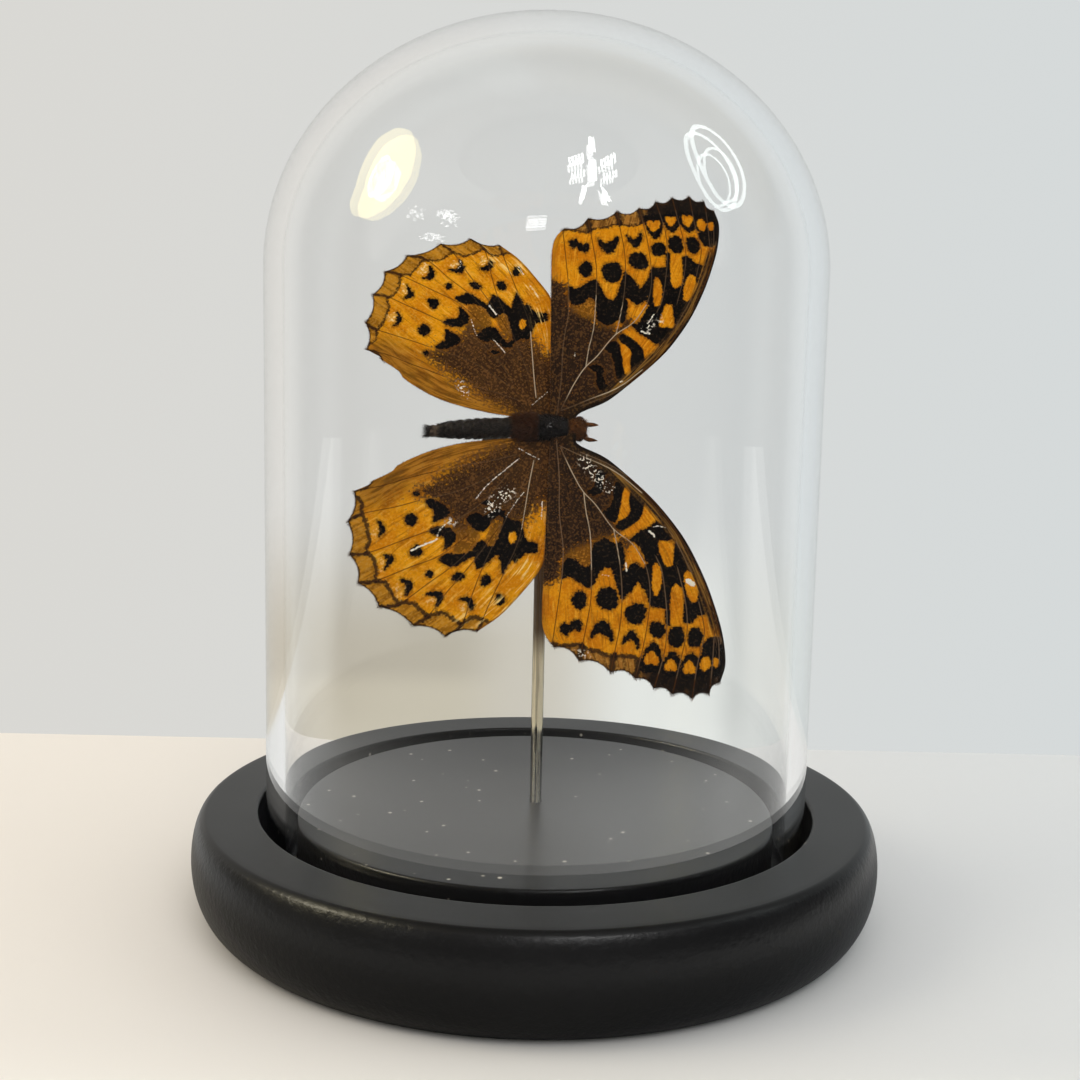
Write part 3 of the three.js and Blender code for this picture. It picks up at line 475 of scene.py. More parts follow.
# Each kind of hair's darker and lighter colour on the screen.
HAIR_COLOURS = {
    "thorax_fur": ((36, 18, 6), (92, 50, 20)),
    "abdomen_hair": ((20, 16, 14), (56, 46, 38)),
    "face_fur": ((62, 34, 8), (132, 80, 28)),
}
ALL_ROUND = (0, 2 * np.pi)
# Patches of hair: name, kind, stretch along the body, angles round it, count, lengths and lean.
FURS = [
    ("thorax_fur", "thorax_fur", (-4.8, -0.8), ALL_ROUND, 2600, (0.4, 1.1), -0.9),
    ("shield_fur", "abdomen_hair", (-0.8, 4.0), (0.7 * np.pi, 2.3 * np.pi), 700, (0.3, 0.7), -1.0),
    ("abdomen_hair", "abdomen_hair", (-18.4, -4.8), ALL_ROUND, 2600, (0.12, 0.4), -1.8),
    ("face_fur", "face_fur", (4.0, 6.9), ALL_ROUND, 1800, (0.3, 0.8), 0.5),
    ("tail_tuft", "abdomen_hair", (-18.6, -18.0), ALL_ROUND, 260, (0.5, 1.0), -1.6),
]


# ---- Curves and distances in a plan ----

def smooth_path(corners, steps=6):
    """A curve through all corners: between two corners p and q each point is the cubic blend whose slope at
    a corner is half the line between that corner's neighbours."""
    p = np.asarray(corners, dtype=float)
    before = np.vstack([2 * p[0] - p[1], p[:-2]])
    after = np.vstack([p[2:], 2 * p[-1] - p[-2]])
    t = (np.arange(steps) / steps)[None, :, None]
    a, b, c, d = before[:, None], p[:-1, None], p[1:, None], after[:, None]
    curve = 0.5 * (2 * b + (c - a) * t + (2 * a - 5 * b + 4 * c - d) * t**2 + (3 * b - 3 * c + d - a) * t**3)
    return np.vstack([curve.reshape(-1, p.shape[1]), p[-1]])


def smooth_loop(corners, rounds=2):
    """A closed outline with its corners cut several times, each time a short way along every side."""
    p = np.asarray(corners, dtype=float)
    for _ in range(rounds):
        following = np.roll(p, -1, axis=0)
        cut = [(1 - CORNER_CUT) * p + CORNER_CUT * following, CORNER_CUT * p + (1 - CORNER_CUT) * following]
        p = np.stack(cut, axis=1).reshape(-1, 2)
    return p


def even_path(path, count):
    """count points at equal distances along a path."""
    length = np.concatenate([[0], np.cumsum(np.linalg.norm(np.diff(path, axis=0), axis=1))])
    wanted = np.linspace(0, length[-1], count)
    return np.stack([np.interp(wanted, length, path[:, k]) for k in range(path.shape[1])], axis=1)


def scallops(ends, sag, centre, steps=12):
    """A margin through the vein ends: between two of them it bows towards the wing's middle by sag times
    the sine of the way along."""
    ends = np.asarray(ends, dtype=float)
    chord = np.diff(ends, axis=0)
    length = np.linalg.norm(chord, axis=1, keepdims=True)
    normal = np.stack([-chord[:, 1], chord[:, 0]], axis=1) / length
    inward = np.sign((normal * (np.asarray(centre) - ends[:-1])).sum(axis=1, keepdims=True))
    t = (np.arange(steps) / steps)[None, :, None]
    depth = sag * np.minimum(1, length / 4)[:, None] * np.sin(np.pi * t)
    curve = ends[:-1, None] + chord[:, None] * t + (normal * inward)[:, None] * depth
    return np.vstack([curve.reshape(-1, 2), ends[-1]])


def path_distance(points, path):
    """Distance from each point to the nearest place on a path, and on which side of the path it lies: the
    point is dropped at right angles onto every straight piece, kept within its ends, and the shortest drop
    counts."""
    start = path[:-1].astype(np.float32)
    step = np.diff(path, axis=0).astype(np.float32)
    offset = points[:, None].astype(np.float32) - start
    t = np.clip((offset * step).sum(-1) / np.maximum((step**2).sum(-1), 1e-9), 0, 1)
    squared = ((offset - t[..., None] * step) ** 2).sum(-1)
    nearest = squared.argmin(axis=1)
    row = np.arange(len(points))
    out = offset[row, nearest]
    side = np.sign(step[nearest, 0] * out[:, 1] - step[nearest, 1] * out[:, 0])
    return np.sqrt(squared[row, nearest]), side


def loop_distance(points, corners):
    """Distance to a closed outline, negative inside: a point is inside when a line from it crosses the
    outline an odd number of times."""
    loop = np.vstack([corners, corners[:1]])
    distance, _ = path_distance(points, loop)
    a, b = loop[:-1], loop[1:]
    px, py = points[:, :1], points[:, 1:]
    spans = (a[:, 1] > py) != (b[:, 1] > py)
    rise = np.where(b[:, 1] == a[:, 1], 1e-9, b[:, 1] - a[:, 1])
    crossing = spans & (px < (b[:, 0] - a[:, 0]) * (py - a[:, 1]) / rise + a[:, 0])
    return np.where(crossing.sum(axis=1) % 2 == 1, -distance, distance)


def nearest_loop(points, loops):
    """Distance to the nearest of several outlines, negative inside one."""
    if not loops:
        return np.full(len(points), FAR_OFF)
    return np.min([loop_distance(points, smooth_loop(loop)) for loop in loops], axis=0)


def heart(left, right, low, high):
    """A heart's outline in that box, its point at the low side."""
    return np.array([left, low]) + np.array(HEART) * np.array([right - left, high - low])


# ---- Meshes ----

def grid_quads(rows, columns, closed=False):
    """Four-cornered faces of a grid of points numbered row by row; a closed grid joins its last column to
    its first."""
    i, j = np.meshgrid(np.arange(rows - 1), np.arange(columns if closed else columns - 1), indexing="ij")
    here, following = i * columns + j, i * columns + (j + 1) % columns
    return np.stack([here, following, following + columns, here + columns], -1).reshape(-1, 4)


def closed_rings(ring, first, last):
    """Rings of points as one closed skin: four-cornered faces between the rings, and at either end a fan to
    a single point."""
    rows, sides = ring.shape[:2]
    points = np.vstack([ring.reshape(-1, 3), first, last])
    j = np.arange(sides)
    following = (j + 1) % sides
    end = (rows - 1) * sides
    low, high = np.full(sides, rows * sides), np.full(sides, rows * sides + 1)
    fans = np.concatenate([np.stack([low, following, j], 1), np.stack([high, end + j, end + following], 1)])
    return points, grid_quads(rows, sides, closed=True), fans


def linked(name, data):
    """A new object in the scene that holds this data."""
    made = bpy.data.objects.new(name, data)
    bpy.context.scene.collection.objects.link(made)
    return made


def make_piece(name, points, quads, triangles=(), materials=(), values=None, face_materials=None,
               smooth=True):
    """A mesh object at the origin from millimetre points. values are named numbers or vectors, one per
    point."""
    quads = np.asarray(quads, dtype=np.int32).reshape(-1, 4)
    triangles = np.asarray(triangles, dtype=np.int32).reshape(-1, 3)
    corners = np.concatenate([quads.ravel(), triangles.ravel()])
    starts = np.concatenate([np.arange(len(quads)) * 4, len(quads) * 4 + np.arange(len(triangles)) * 3])
    mesh = bpy.data.meshes.new(name)
    mesh.vertices.add(len(points))
    mesh.vertices.foreach_set("co", (np.asarray(points) * MM).astype(np.float32).ravel())
    mesh.loops.add(len(corners))
    mesh.loops.foreach_set("vertex_index", corners)
    mesh.polygons.add(len(starts))
    mesh.polygons.foreach_set("loop_start", starts.astype(np.int32))
    for material in materials:
        mesh.materials.append(material)
    if face_materials is not None:
        mesh.polygons.foreach_set("material_index", np.asarray(face_materials, dtype=np.int32))
    mesh.update(calc_edges=True)
    for key, value in (values or {}).items():
        value = np.asarray(value, dtype=np.float32)
        if value.ndim == 1:
            mesh.attributes.new(key, "FLOAT", "POINT").data.foreach_set("value", value)
        else:
            mesh.attributes.new(key, "FLOAT_VECTOR", "POINT").data.foreach_set("vector", value.ravel())
    mesh.polygons.foreach_set("use_smooth", np.full(len(starts), smooth))
    return linked(name, mesh)


def turned_mesh(profile, sides):
    """A solid turned about +Z: each (radius, height) point of the profile goes round a circle, and its
    first and last points, on the axis, close it with a fan."""
    profile = np.asarray(profile, dtype=float)
    angle = np.linspace(0, 2 * np.pi, sides, endpoint=False)
    radius, height = profile[1:-1, :1], profile[1:-1, 1:]
    ring = np.stack([radius * np.cos(angle), radius * np.sin(angle), height + 0 * angle], axis=-1)
    return closed_rings(ring, [0, 0, profile[0, 1]], [0, 0, profile[-1, 1]])


def rounded(corners, radii, steps=6, hold=0.15):
    """A profile whose corners are arcs of the given radii: each arc starts and ends where a circle touches
    both sides, and a point a little further along each side holds the flat stretches flat."""
    corners = [np.asarray(corner, dtype=float) for corner in corners]
    profile = [corners[0]]
    for before, corner, after, radius in zip(corners[:-2], corners[1:-1], corners[2:], radii):
        if radius == 0:
            profile.append(corner)
            continue
        one = (before - corner) / np.linalg.norm(before - corner)
        two = (after - corner) / np.linalg.norm(after - corner)
        half = math.acos(float(np.clip(one @ two, -1, 1))) / 2
        middle = corner + (one + two) / np.linalg.norm(one + two) * radius / math.sin(half)
        first, last = corner + one * radius / math.tan(half), corner + two * radius / math.tan(half)
        profile.append(first + one * hold)
        turn = np.pi - 2 * half
        for share in np.linspace(0, 1, steps + 1):
            arm = (math.sin((1 - share) * turn) * (first - middle) + math.sin(share * turn) * (last - middle))
            profile.append(middle + arm / math.sin(turn))
        profile.append(last + two * hold)
    return np.array(profile + [corners[-1]])


def ellipse(centre, radii, start, end, steps):
    """Points on an ellipse about centre from one angle to another, in degrees."""
    angle = np.radians(np.linspace(start, end, steps + 1))
    return np.stack([centre[0] + radii[0] * np.cos(angle), centre[1] + radii[1] * np.sin(angle)], axis=1)


def tube_mesh(stations, sides=10, steps=5):
    """A round limb carried along a smooth path through (x, y, z, radius) stations: at each point a ring
    stands square to the path, and both ends close to a point."""
    path = smooth_path(stations, steps)
    centre, radius = path[:, :3], path[:, 3]
    along = np.gradient(centre, axis=0)
    along /= np.linalg.norm(along, axis=1, keepdims=True)
    across = np.cross(along, LIMB_HELPER)
    across /= np.linalg.norm(across, axis=1, keepdims=True)
    up = np.cross(along, across)
    angle = np.linspace(0, 2 * np.pi, sides, endpoint=False)[None, :, None]
    arm = np.cos(angle) * across[:, None] + np.sin(angle) * up[:, None]
    return closed_rings(centre[:, None] + radius[:, None, None] * arm, centre[0], centre[-1])


def hair_mesh(roots, directions, lengths, widths, droop, rng):
    """Tapered three-sided hairs: a ring at the root, a smaller one past the middle that leans by droop, and
    a single point at the tip."""
    count = len(roots)
    directions = directions / np.linalg.norm(directions, axis=1, keepdims=True)
    helper = rng.normal(size=(count, 3))
    across = np.cross(directions, helper)
    across /= np.linalg.norm(across, axis=1, keepdims=True)
    up = np.cross(directions, across)
    angle = np.radians([0, 120, 240])[None, :, None]
    ring = np.cos(angle) * across[:, None] + np.sin(angle) * up[:, None]
    lengths, widths = lengths[:, None], widths[:, None, None]
    middle = roots + directions * lengths * 0.6 + droop * lengths * 0.25
    tip = roots + directions * lengths + droop * lengths
    low = roots[:, None] + ring * widths
    high = middle[:, None] + ring * widths * 0.6
    points = np.concatenate([low, high, tip[:, None]], axis=1).reshape(-1, 3)
    first = np.arange(count)[:, None, None] * 7
    quads = first + np.array([[0, 1, 4, 3], [1, 2, 5, 4], [2, 0, 3, 5]])
    triangles = first + np.array([[3, 4, 6], [4, 5, 6], [5, 3, 6], [0, 2, 1]])
    return points, quads.reshape(-1, 4), triangles.reshape(-1, 3)


def joined(meshes):
    """Several (points, quads, triangles) sets as one."""
    points, quads, triangles, start = [], [], [], 0
    for p, q, t in meshes:
        points.append(p)
        quads.append(np.asarray(q).reshape(-1, 4) + start)
        triangles.append(np.asarray(t).reshape(-1, 3) + start)
        start += len(p)
    return np.vstack(points), np.vstack(quads), np.vstack(triangles)


# ---- Finishes ----

def paint(red, green, blue):
    """A colour from its 0 to 255 screen values."""
    channel = np.array([red, green, blue]) / 255
    linear = np.where(channel <= 0.04045, channel / 12.92, ((channel + 0.055) / 1.055) ** 2.4)
    return (*linear.tolist(), 1.0)


class Nodes:
    """A node tree being written. Each short call adds a node and hands back its output."""

    def __init__(self, owner):
        owner.use_nodes = True
        self.tree = owner.node_tree
        self.tree.nodes.clear()

    def join(self, socket, value):
        """Links an output to a socket, or sets the socket to a constant. A colour is three screen values,
        or four linear ones."""
        if isinstance(value, bpy.types.NodeSocket):
            self.tree.links.new(value, socket)
        elif socket.type == "RGBA" and len(value) == 3:
            socket.default_value = paint(*value)
        else:
            socket.default_value = value

    def node(self, kind, inputs=None, **settings):
        """A new node with its settings, and what goes into its sockets, by their names or numbers."""
        made = self.tree.nodes.new(kind)
        for key, value in settings.items():
            setattr(made, key, value)
        for key, value in (inputs or {}).items():
            self.join(made.inputs[key], value)
        return made

    def value(self, name, kind="Fac"):
        return self.node("ShaderNodeAttribute", attribute_name=name).outputs[kind]

    def vector(self, name):
        return self.value(name, "Vector")

    def place(self):
        return self.node("ShaderNodeTexCoord").outputs["Object"]

    def scaled(self, vector, scale, shift=(0, 0, 0)):
        inputs = {"Vector": vector, "Scale": scale, "Location": shift}
        return self.node("ShaderNodeMapping", inputs).outputs[0]

    def noise(self, vector, scale, detail=3.0, roughness=0.5):
        inputs = {"Vector": vector, "Scale": scale, "Detail": detail, "Roughness": roughness}
        return self.node("ShaderNodeTexNoise", inputs).outputs["Fac"]

    def cells(self, vector, scale):
        made = self.node("ShaderNodeTexVoronoi", {"Vector": vector, "Scale": scale})
        return made.outputs["Distance"], made.outputs["Color"]

    def math(self, operation, one, two=0.0):
        return self.node("ShaderNodeMath", {0: one, 1: two}, operation=operation).outputs[0]

    def times(self, one, two):
        return self.math("MULTIPLY", one, two)

    def plus(self, one, two):
        return self.math("ADD", one, two)

    def absolute(self, value):
        return self.math("ABSOLUTE", value)

    def step(self, value, low, high):
        """From 0 at low to 1 at high, with a soft start and end. low may be the larger."""
        inputs = {"Value": value, "From Min": low, "From Max": high}
        return self.node("ShaderNodeMapRange", inputs, interpolation_type="SMOOTHSTEP").outputs[0]

    def spread(self, value, low, high):
        """From low where the value is 0 to high where it is 1."""
        return self.node("ShaderNodeMapRange", {"Value": value, "To Min": low, "To Max": high}).outputs[0]

    def mix(self, share, one, two, kind="MIX"):
        made = self.node("ShaderNodeMix", {0: share, 6: one, 7: two}, data_type="RGBA", blend_type=kind)
        return made.outputs[2]

    def either(self, share, one, two):
        return self.node("ShaderNodeMixShader", {0: share, 1: one, 2: two}).outputs[0]

    def glow(self, colour, strength=1.0):
        return self.node("ShaderNodeEmission", {"Color": colour, "Strength": strength}).outputs[0]

    def red(self, colour):
        return self.node("ShaderNodeSeparateColor", {0: colour}).outputs[0]

    def axes(self, vector):
        return self.node("ShaderNodeSeparateXYZ", {0: vector}).outputs

    def length(self, vector):
        return self.node("ShaderNodeVectorMath", {0: vector}, operation="LENGTH").outputs["Value"]

    def bounces(self, kind, count=0):
        """Whether the light has been mirrored, or has gone through glass, more often than that."""
        depth = self.node("ShaderNodeLightPath").outputs[kind + " Depth"]
        return self.math("GREATER_THAN", depth, count + 0.5)

    def warped(self, name, vector, scale, amount):
        """A distance from the mesh, made uneven by that much noise either way."""
        ragged = self.spread(self.noise(vector, scale, 4.0, 0.6), -amount * 2, amount * 2)
        return self.plus(self.value(name), ragged)


class Finish(Nodes):
    """One procedural finish for a surface."""

    def __init__(self, name, roughness=0.5, **settings):
        self.material = bpy.data.materials.new(name)
        super().__init__(self.material)
        self.shader = self.node("ShaderNodeBsdfPrincipled")
        self.output = self.node("ShaderNodeOutputMaterial", {"Surface": self.shader.outputs[0]})
        self.set("Roughness", roughness)
        for socket, value in settings.items():
            self.set(socket.replace("_", " "), value)

    def set(self, name, value):
        self.join(self.shader.inputs[name], value)

    def bump(self, height, distance, strength):
        made = self.node("ShaderNodeBump", {"Height": height, "Distance": distance, "Strength": strength})
        self.set("Normal", made.outputs[0])


def black_paint_finish(name, refraction):
    """Satin black paint on turned wood: brush and grain lines that run round the rim, pores, and dust under
    the dome. Below the flat top the black is lighter, a painted reflection."""
    made = Finish(name, IOR=refraction)
    place = made.place()
    across, deep, high = made.axes(place)[:3]
    turning = made.math("ARCTAN2", across, deep)
    lines = made.node("ShaderNodeCombineXYZ", {0: made.times(turning, 34.0), 1: made.times(high, 900.0)})
    brushed = made.noise(lines.outputs[0], 1.0, 4.0, 0.65)
    cloudy = made.noise(place, 60, 4.0)
    flat = made.step(high, 0.0160, 0.0166)
    # Painted reflection: below the flat top, the side, groove and hole are a lighter black than the top.
    side_painted_reflection_colour = made.mix(cloudy, (13, 13, 14), (19, 19, 20))
    colour = made.mix(flat, side_painted_reflection_colour, made.mix(cloudy, (10, 10, 11), (16, 16, 16)))
    gap, tone = made.cells(place, 420)
    speck = made.times(made.step(gap, 0.2, 0.08), made.math("GREATER_THAN", made.red(tone), 0.81))
    under_dome = made.step(made.length(made.scaled(place, (1, 1, 0))), 0.047, 0.046)
    dust = made.times(made.times(speck, under_dome), 0.7)
    made.set("Base Color", made.mix(dust, colour, (196, 190, 178)))
    made.set("Roughness", made.spread(made.noise(place, 35, 3.0), 0.27, 0.38))
    relief = made.plus(made.times(brushed, 0.3), made.noise(place, 900, 3.0, 0.6))
    made.bump(made.times(relief, made.spread(flat, 1.0, 0.03)), 0.00016, 0.6)
    return made.material


def glass_finish():
    """Clear blown glass: plain transmission, with a faint cool absorption through its wall."""
    made = Finish("clear_glass", roughness=0.0, IOR=1.47, Base_Color=(1, 1, 1, 1), Transmission_Weight=1.0)
    depth = made.node("ShaderNodeVolumeAbsorption", {"Color": (222, 232, 230), "Density": 6.0})
    made.join(made.output.inputs["Volume"], depth.outputs[0])
    return made.material


def steel_finish():
    """Drawn steel rod whose colours are mostly painted reflection and shade: bare metal low down, darkened as
    a painted reflection of the dark floor, with a painted reflection as a bright stripe at either side;
    above, a warm pale painted reflection of the bright table with fine dark streaks, painted shade that
    darkens its rims by the view, and brown painted shade near the insect."""
    made = Finish("drawn_steel")
    place = made.place()
    high = made.axes(place)[2]
    lines = made.noise(made.scaled(place, (2600, 2600, 60)), 1.0, 3.0, 0.6)
    # Layer Weight facing with streaks: it drives the painted shade at the rims and the painted reflection
    # stripes.
    rim = made.plus(made.node("ShaderNodeLayerWeight").outputs["Facing"], made.spread(lines, -0.3, 0.3))
    # Painted reflection of the bright table, warm pale, turning to brown painted shade under the insect.
    pale = made.mix(made.step(high, 0.040, 0.047), (255, 244, 212), (100, 82, 62))
    # Painted shade: dark where the rod's side turns from the view.
    upper = made.mix(made.step(rim, 0.4, 0.85), pale, (66, 58, 46))
    upper = made.mix(made.times(made.step(lines, 0.52, 0.42), 0.45), upper, (112, 90, 62))
    # Painted reflection low down: a bright stripe at either side, on metal darkened as a painted reflection
    # of the dark floor.
    painted_reflection_stripe = made.times(made.step(rim, 0.02, 0.1), made.step(rim, 0.36, 0.24))
    lower = made.mix(painted_reflection_stripe, (84, 82, 76), (236, 228, 206))
    # Where the pale painted reflection starts, above 29 to 30 mm, with an uneven edge; below it the metal is
    # bare.
    painted_reflection_part = made.step(made.plus(high, made.spread(lines, -0.003, 0.003)), 0.0292, 0.0302)
    made.set("Base Color", made.mix(painted_reflection_part, lower, upper))
    made.set("Metallic", made.spread(painted_reflection_part, 0.85, 0.05))
    made.set("Roughness", made.spread(lines, 0.2, 0.34))
    made.bump(lines, 0.00002, 0.5)
    return made.material


def table_finish():
    """A warm white table top with painted light: warmer and brighter on the left, cooler and darker on the
    right, brighter in front of the object. In a mirror the table round the object is a glow instead, a
    painted reflection: a bright ring round the object, and beyond it a dim floor in front. The ring is dim in
    light that has gone through the whole dome."""
    made = Finish("table_top", roughness=0.6, Specular_IOR_Level=0.2)
    place = made.place()
    across, deep = made.axes(place)[:2]
    # Painted light: warm and brighter on the left, cool and darker on the right.
    white = made.mix(made.step(across, -0.12, 0.12), (234, 227, 219), (214, 217, 220))
    # Painted light: brighter in front of the object.
    white = made.mix(made.step(deep, -0.05, -0.1), white, (254, 251, 243))
    made.set("Base Color", made.mix(made.times(made.noise(place, 9, 3.0), 0.06), white, (200, 196, 190)))
    # From here on, the glow that mirrors see round the object: painted reflection.
    away = made.length(place)
    deeper = made.bounces("Transmission", 2)
    ring = made.mix(made.step(across, -0.02, 0.06), (1.0, 0.98, 0.92, 1), (1.5, 1.5, 1.45, 1))
    ring = made.mix(deeper, ring, (0.2, 0.2, 0.2, 1))
    front = made.mix(made.step(away, 0.12, 0.2), ring, (0.05, 0.05, 0.05, 1))
    back = made.mix(deeper, (0.82, 0.82, 0.8, 1), (0.5, 0.49, 0.46, 1))
    glow = made.glow(made.mix(made.step(deep, 0.0, -0.05), back, front))
    mirrored = made.times(made.step(away, 0.078, 0.095), made.bounces("Glossy"))
    made.join(made.output.inputs["Surface"], made.either(mirrored, made.shader.outputs[0], glow))
    made.material.cycles.emission_sampling = "NONE"
    return made.material


def wing_grain(made, seed):
    """The scales of one wing: a grain of a few scales each, streaks that run from root to margin, and broad
    clouds. Returns the wing's plan position and the three."""
    shift = (seed * 7.3, seed * 3.1, seed)
    plan = made.scaled(made.vector("plan"), (1, 1, 1), shift)
    grain = made.scaled(made.vector("grain"), (2.2, 0.16, 1), shift)
    scales, clouds = made.noise(plan, 2.4, 1.0), made.noise(plan, 0.35)
    return plan, scales, made.noise(grain, 1.0, 3.0, 0.6), clouds


def dusted(made, name, scales, near, far):
    """How thickly one kind of scales lies: all over inside the outline, thinning out grain by grain between
    the two distances from it."""
    cover = made.times(made.step(made.value(name), far, near), 1.5)
    return made.step(made.plus(cover, made.spread(scales, -1.1, 1.1)), 0.3, 1.15)


def golden_ground(made, scales, streaks, clouds, tones):
    """Golden orange scales, lighter and darker in clouds, streaks and single grains."""
    ground = made.mix(made.step(clouds, 0.38, 0.62), tones["deep"], tones["light"])
    for grain, start, end, strength, tone in (
            (streaks, 0.46, 0.36, 0.6, "shade"), (streaks, 0.56, 0.68, 0.55, "shine"),
            (scales, 0.46, 0.36, 0.2, "shade"), (scales, 0.54, 0.66, 0.25, "shine")):
        ground = made.mix(made.times(made.step(grain, start, end), strength), ground, tones[tone])
    return ground


def wing_colour(made, look, hind):
    """The upper side's pattern, built up as the scales lie: golden ground, dull patches with a painted sheen
    among them, brown dusting at the root, border cells, dark marks, the orange and pale spots left in them,
    painted glints near the hindwing's leading edge, then veins, margin line, and worn places with painted
    glints among them."""
    tones = TONES["hindwing" if hind else "forewing"]
    plan, scales, streaks, clouds = wing_grain(made, look["seed"])
    out = made.axes(made.vector("plan"))[1]
    fleck = made.step(scales, 0.53, 0.6)
    streak = made.step(streaks, 0.4, 0.6)
    reach = made.value("vein_reach")
    ragged = made.spread(made.noise(plan, 1.6, 3.0, 0.7), -0.5, 0.5)
    ground = golden_ground(made, scales, streaks, clouds, tones)

    brown = made.mix(made.step(streaks, 0.35, 0.65), *tones["bare"])
    brown = made.mix(made.times(fleck, 0.5), brown, tones["tan"])
    brown = made.mix(made.times(made.step(clouds, 0.5, 0.7), 0.3), brown, (26, 17, 10))
    # Dull brown patches; on the forewing's black patch one is a painted sheen.
    dull_and_sheen = made.mix(fleck, (96, 60, 12), (158, 104, 28))
    colour = made.mix(made.times(dusted(made, "dull_and_sheen", scales, -0.6, 0.6), 0.9), ground, dull_and_sheen)
    strip = made.times(made.step(made.value("inner"), *tones["strip"]), tones["strip_strength"])
    colour = made.mix(strip, colour, made.mix(streak, (92, 57, 14), (160, 106, 32)))
    colour = made.mix(dusted(made, "brown", scales, *tones["dusting"]), colour, brown)

    cell = made.mix(made.times(fleck, 0.3), made.mix(streak, *tones["cell"]), (206, 156, 72))
    if hind:
        border_cell = made.mix(made.times(made.step(reach, 0.5, 0.1), 0.6), cell, (60, 38, 16))
    else:
        apex = made.step(made.plus(made.value("along"), made.times(ragged, 3.0)), 16.0, 17.6)
        smoke = made.mix(made.step(clouds, 0.5, 0.66), (22, 15, 10), (72, 47, 22))
        border_cell = made.mix(apex, cell, made.mix(made.times(fleck, 0.25), smoke, (66, 45, 24)))
    border = made.warped("border", plan, 2.2, 0.34)
    colour = made.mix(made.step(border, 0.12, -0.12), colour, border_cell)
    width = 0.22 + 0.26 * look["line"]
    line = made.step(made.absolute(made.plus(border, -0.05)), width, width * 0.35)
    line = made.times(line, made.step(ragged, -0.3, look["line_break"]))
    colour = made.mix(made.times(line, 0.9), colour, (38, 24, 12))
    inside = made.times(made.math("MAXIMUM", border, 0.0), 0.7)
    tuft = made.plus(made.plus(reach, inside), made.times(ragged, 1.4))
    colour = made.mix(made.times(made.step(tuft, *look["tuft"]), 0.92), colour, (30, 20, 12))

    dark = made.warped("dark", plan, 2.4, 0.28)
    halo = made.times(made.step(dark, 0.6, 0.15), made.step(border, -0.12, 0.12))
    colour = made.mix(made.times(halo, 0.55), colour, (96, 56, 8))
    black = made.mix(made.step(scales, 0.55, 0.68), (11, 8, 6), (44, 31, 19))
    colour = made.mix(made.step(dark, 0.2, 0.02), colour, black)
    colour = made.mix(made.step(made.warped("glow", plan, 2.4, 0.26), 0.12, -0.12), colour, ground)
    pale = made.times(made.step(made.warped("pale", plan, 1.8, 0.5), 0.1, -0.5), look["pale"])
    colour = made.mix(pale, colour, made.mix(fleck, (228, 168, 64), (248, 224, 168)))

    coast = made.plus(made.value("lead"), made.spread(streaks, -0.4, 0.4))
    if hind:
        # Painted glints: pale gold streaks near the leading edge, where the wrinkled scales catch the light.
        painted_glint = made.times(made.step(coast, 5.0, 2.0), made.step(streaks, 0.54, 0.62))
        painted_glint = made.times(made.times(painted_glint, made.step(out, 12.0, 18.0)), made.step(clouds, 0.42, 0.58))
        colour = made.mix(painted_glint, colour, (248, 212, 132))
        colour = made.mix(made.times(made.step(coast, 0.4, 0.2), 0.6), colour, (120, 74, 24))
    else:
        rib = made.step(made.absolute(made.plus(made.value("lead"), -0.95)), 0.2, 0.05)
        gold = made.math("MAXIMUM", made.step(streaks, 0.5, 0.62), made.times(rib, 0.7))
        gold = made.mix(made.times(gold, made.step(out, 4.5, 8.0)), (40, 27, 14), (140, 100, 42))
        band = made.times(made.step(coast, 2.1, 1.3), made.step(out, 33.5, 30.5))
        colour = made.mix(band, colour, made.mix(made.times(fleck, 0.3), gold, (120, 84, 40)))
        colour = made.mix(made.step(coast, 0.6, 0.3), colour, (28, 20, 13))

    thread = made.times(made.step(made.absolute(made.value("vein")), 0.12, 0.05),
                        made.math("LESS_THAN", reach, 0.5))
    dusky = made.step(made.math("MINIMUM", made.value("brown"), dark), 0.6, -0.1)
    vein_colour = made.mix(dusky, (78, 42, 6), (128, 100, 74))
    colour = made.mix(made.times(thread, made.spread(dusky, 0.8, look["veins"])), colour, vein_colour)
    bright = made.times(made.step(made.value("bright"), 0.11, 0.03), made.step(ragged, -0.45, -0.1))
    bright = made.times(bright, made.step(out, 4.5, 6.5))
    colour = made.mix(made.times(bright, 0.8), colour, (196, 178, 150))

    edge = made.plus(made.value("edge"), made.spread(scales, -0.3, 0.3))
    colour = made.mix(made.times(made.step(edge, 0.32, 0.1), 0.85), colour, (40, 26, 13))
    # White where the scales are worn off, and painted glints and highlights drawn the same way.
    wear_and_glints = made.step(made.warped("wear_and_glints", plan, 3.0, 0.14), 0.05, -0.05)
    frost_and_glints = made.times(made.step(made.value("frost_and_glints"), 0.5, -0.5), made.step(scales, 0.56, 0.62))
    colour = made.mix(made.math("MAXIMUM", wear_and_glints, frost_and_glints), colour, (236, 228, 212))
    return colour, scales, streaks


def wing_top_finish(name, look, hind):
    """The upper side: matt scales, lightly raised along their rows."""
    made = Finish(name, roughness=0.7, Specular_IOR_Level=0.05)
    colour, scales, streaks = wing_colour(made, look, hind)
    made.set("Base Color", colour)
    made.bump(made.plus(scales, made.times(streaks, 1.5)), 0.00012, 0.6)
    return made.material


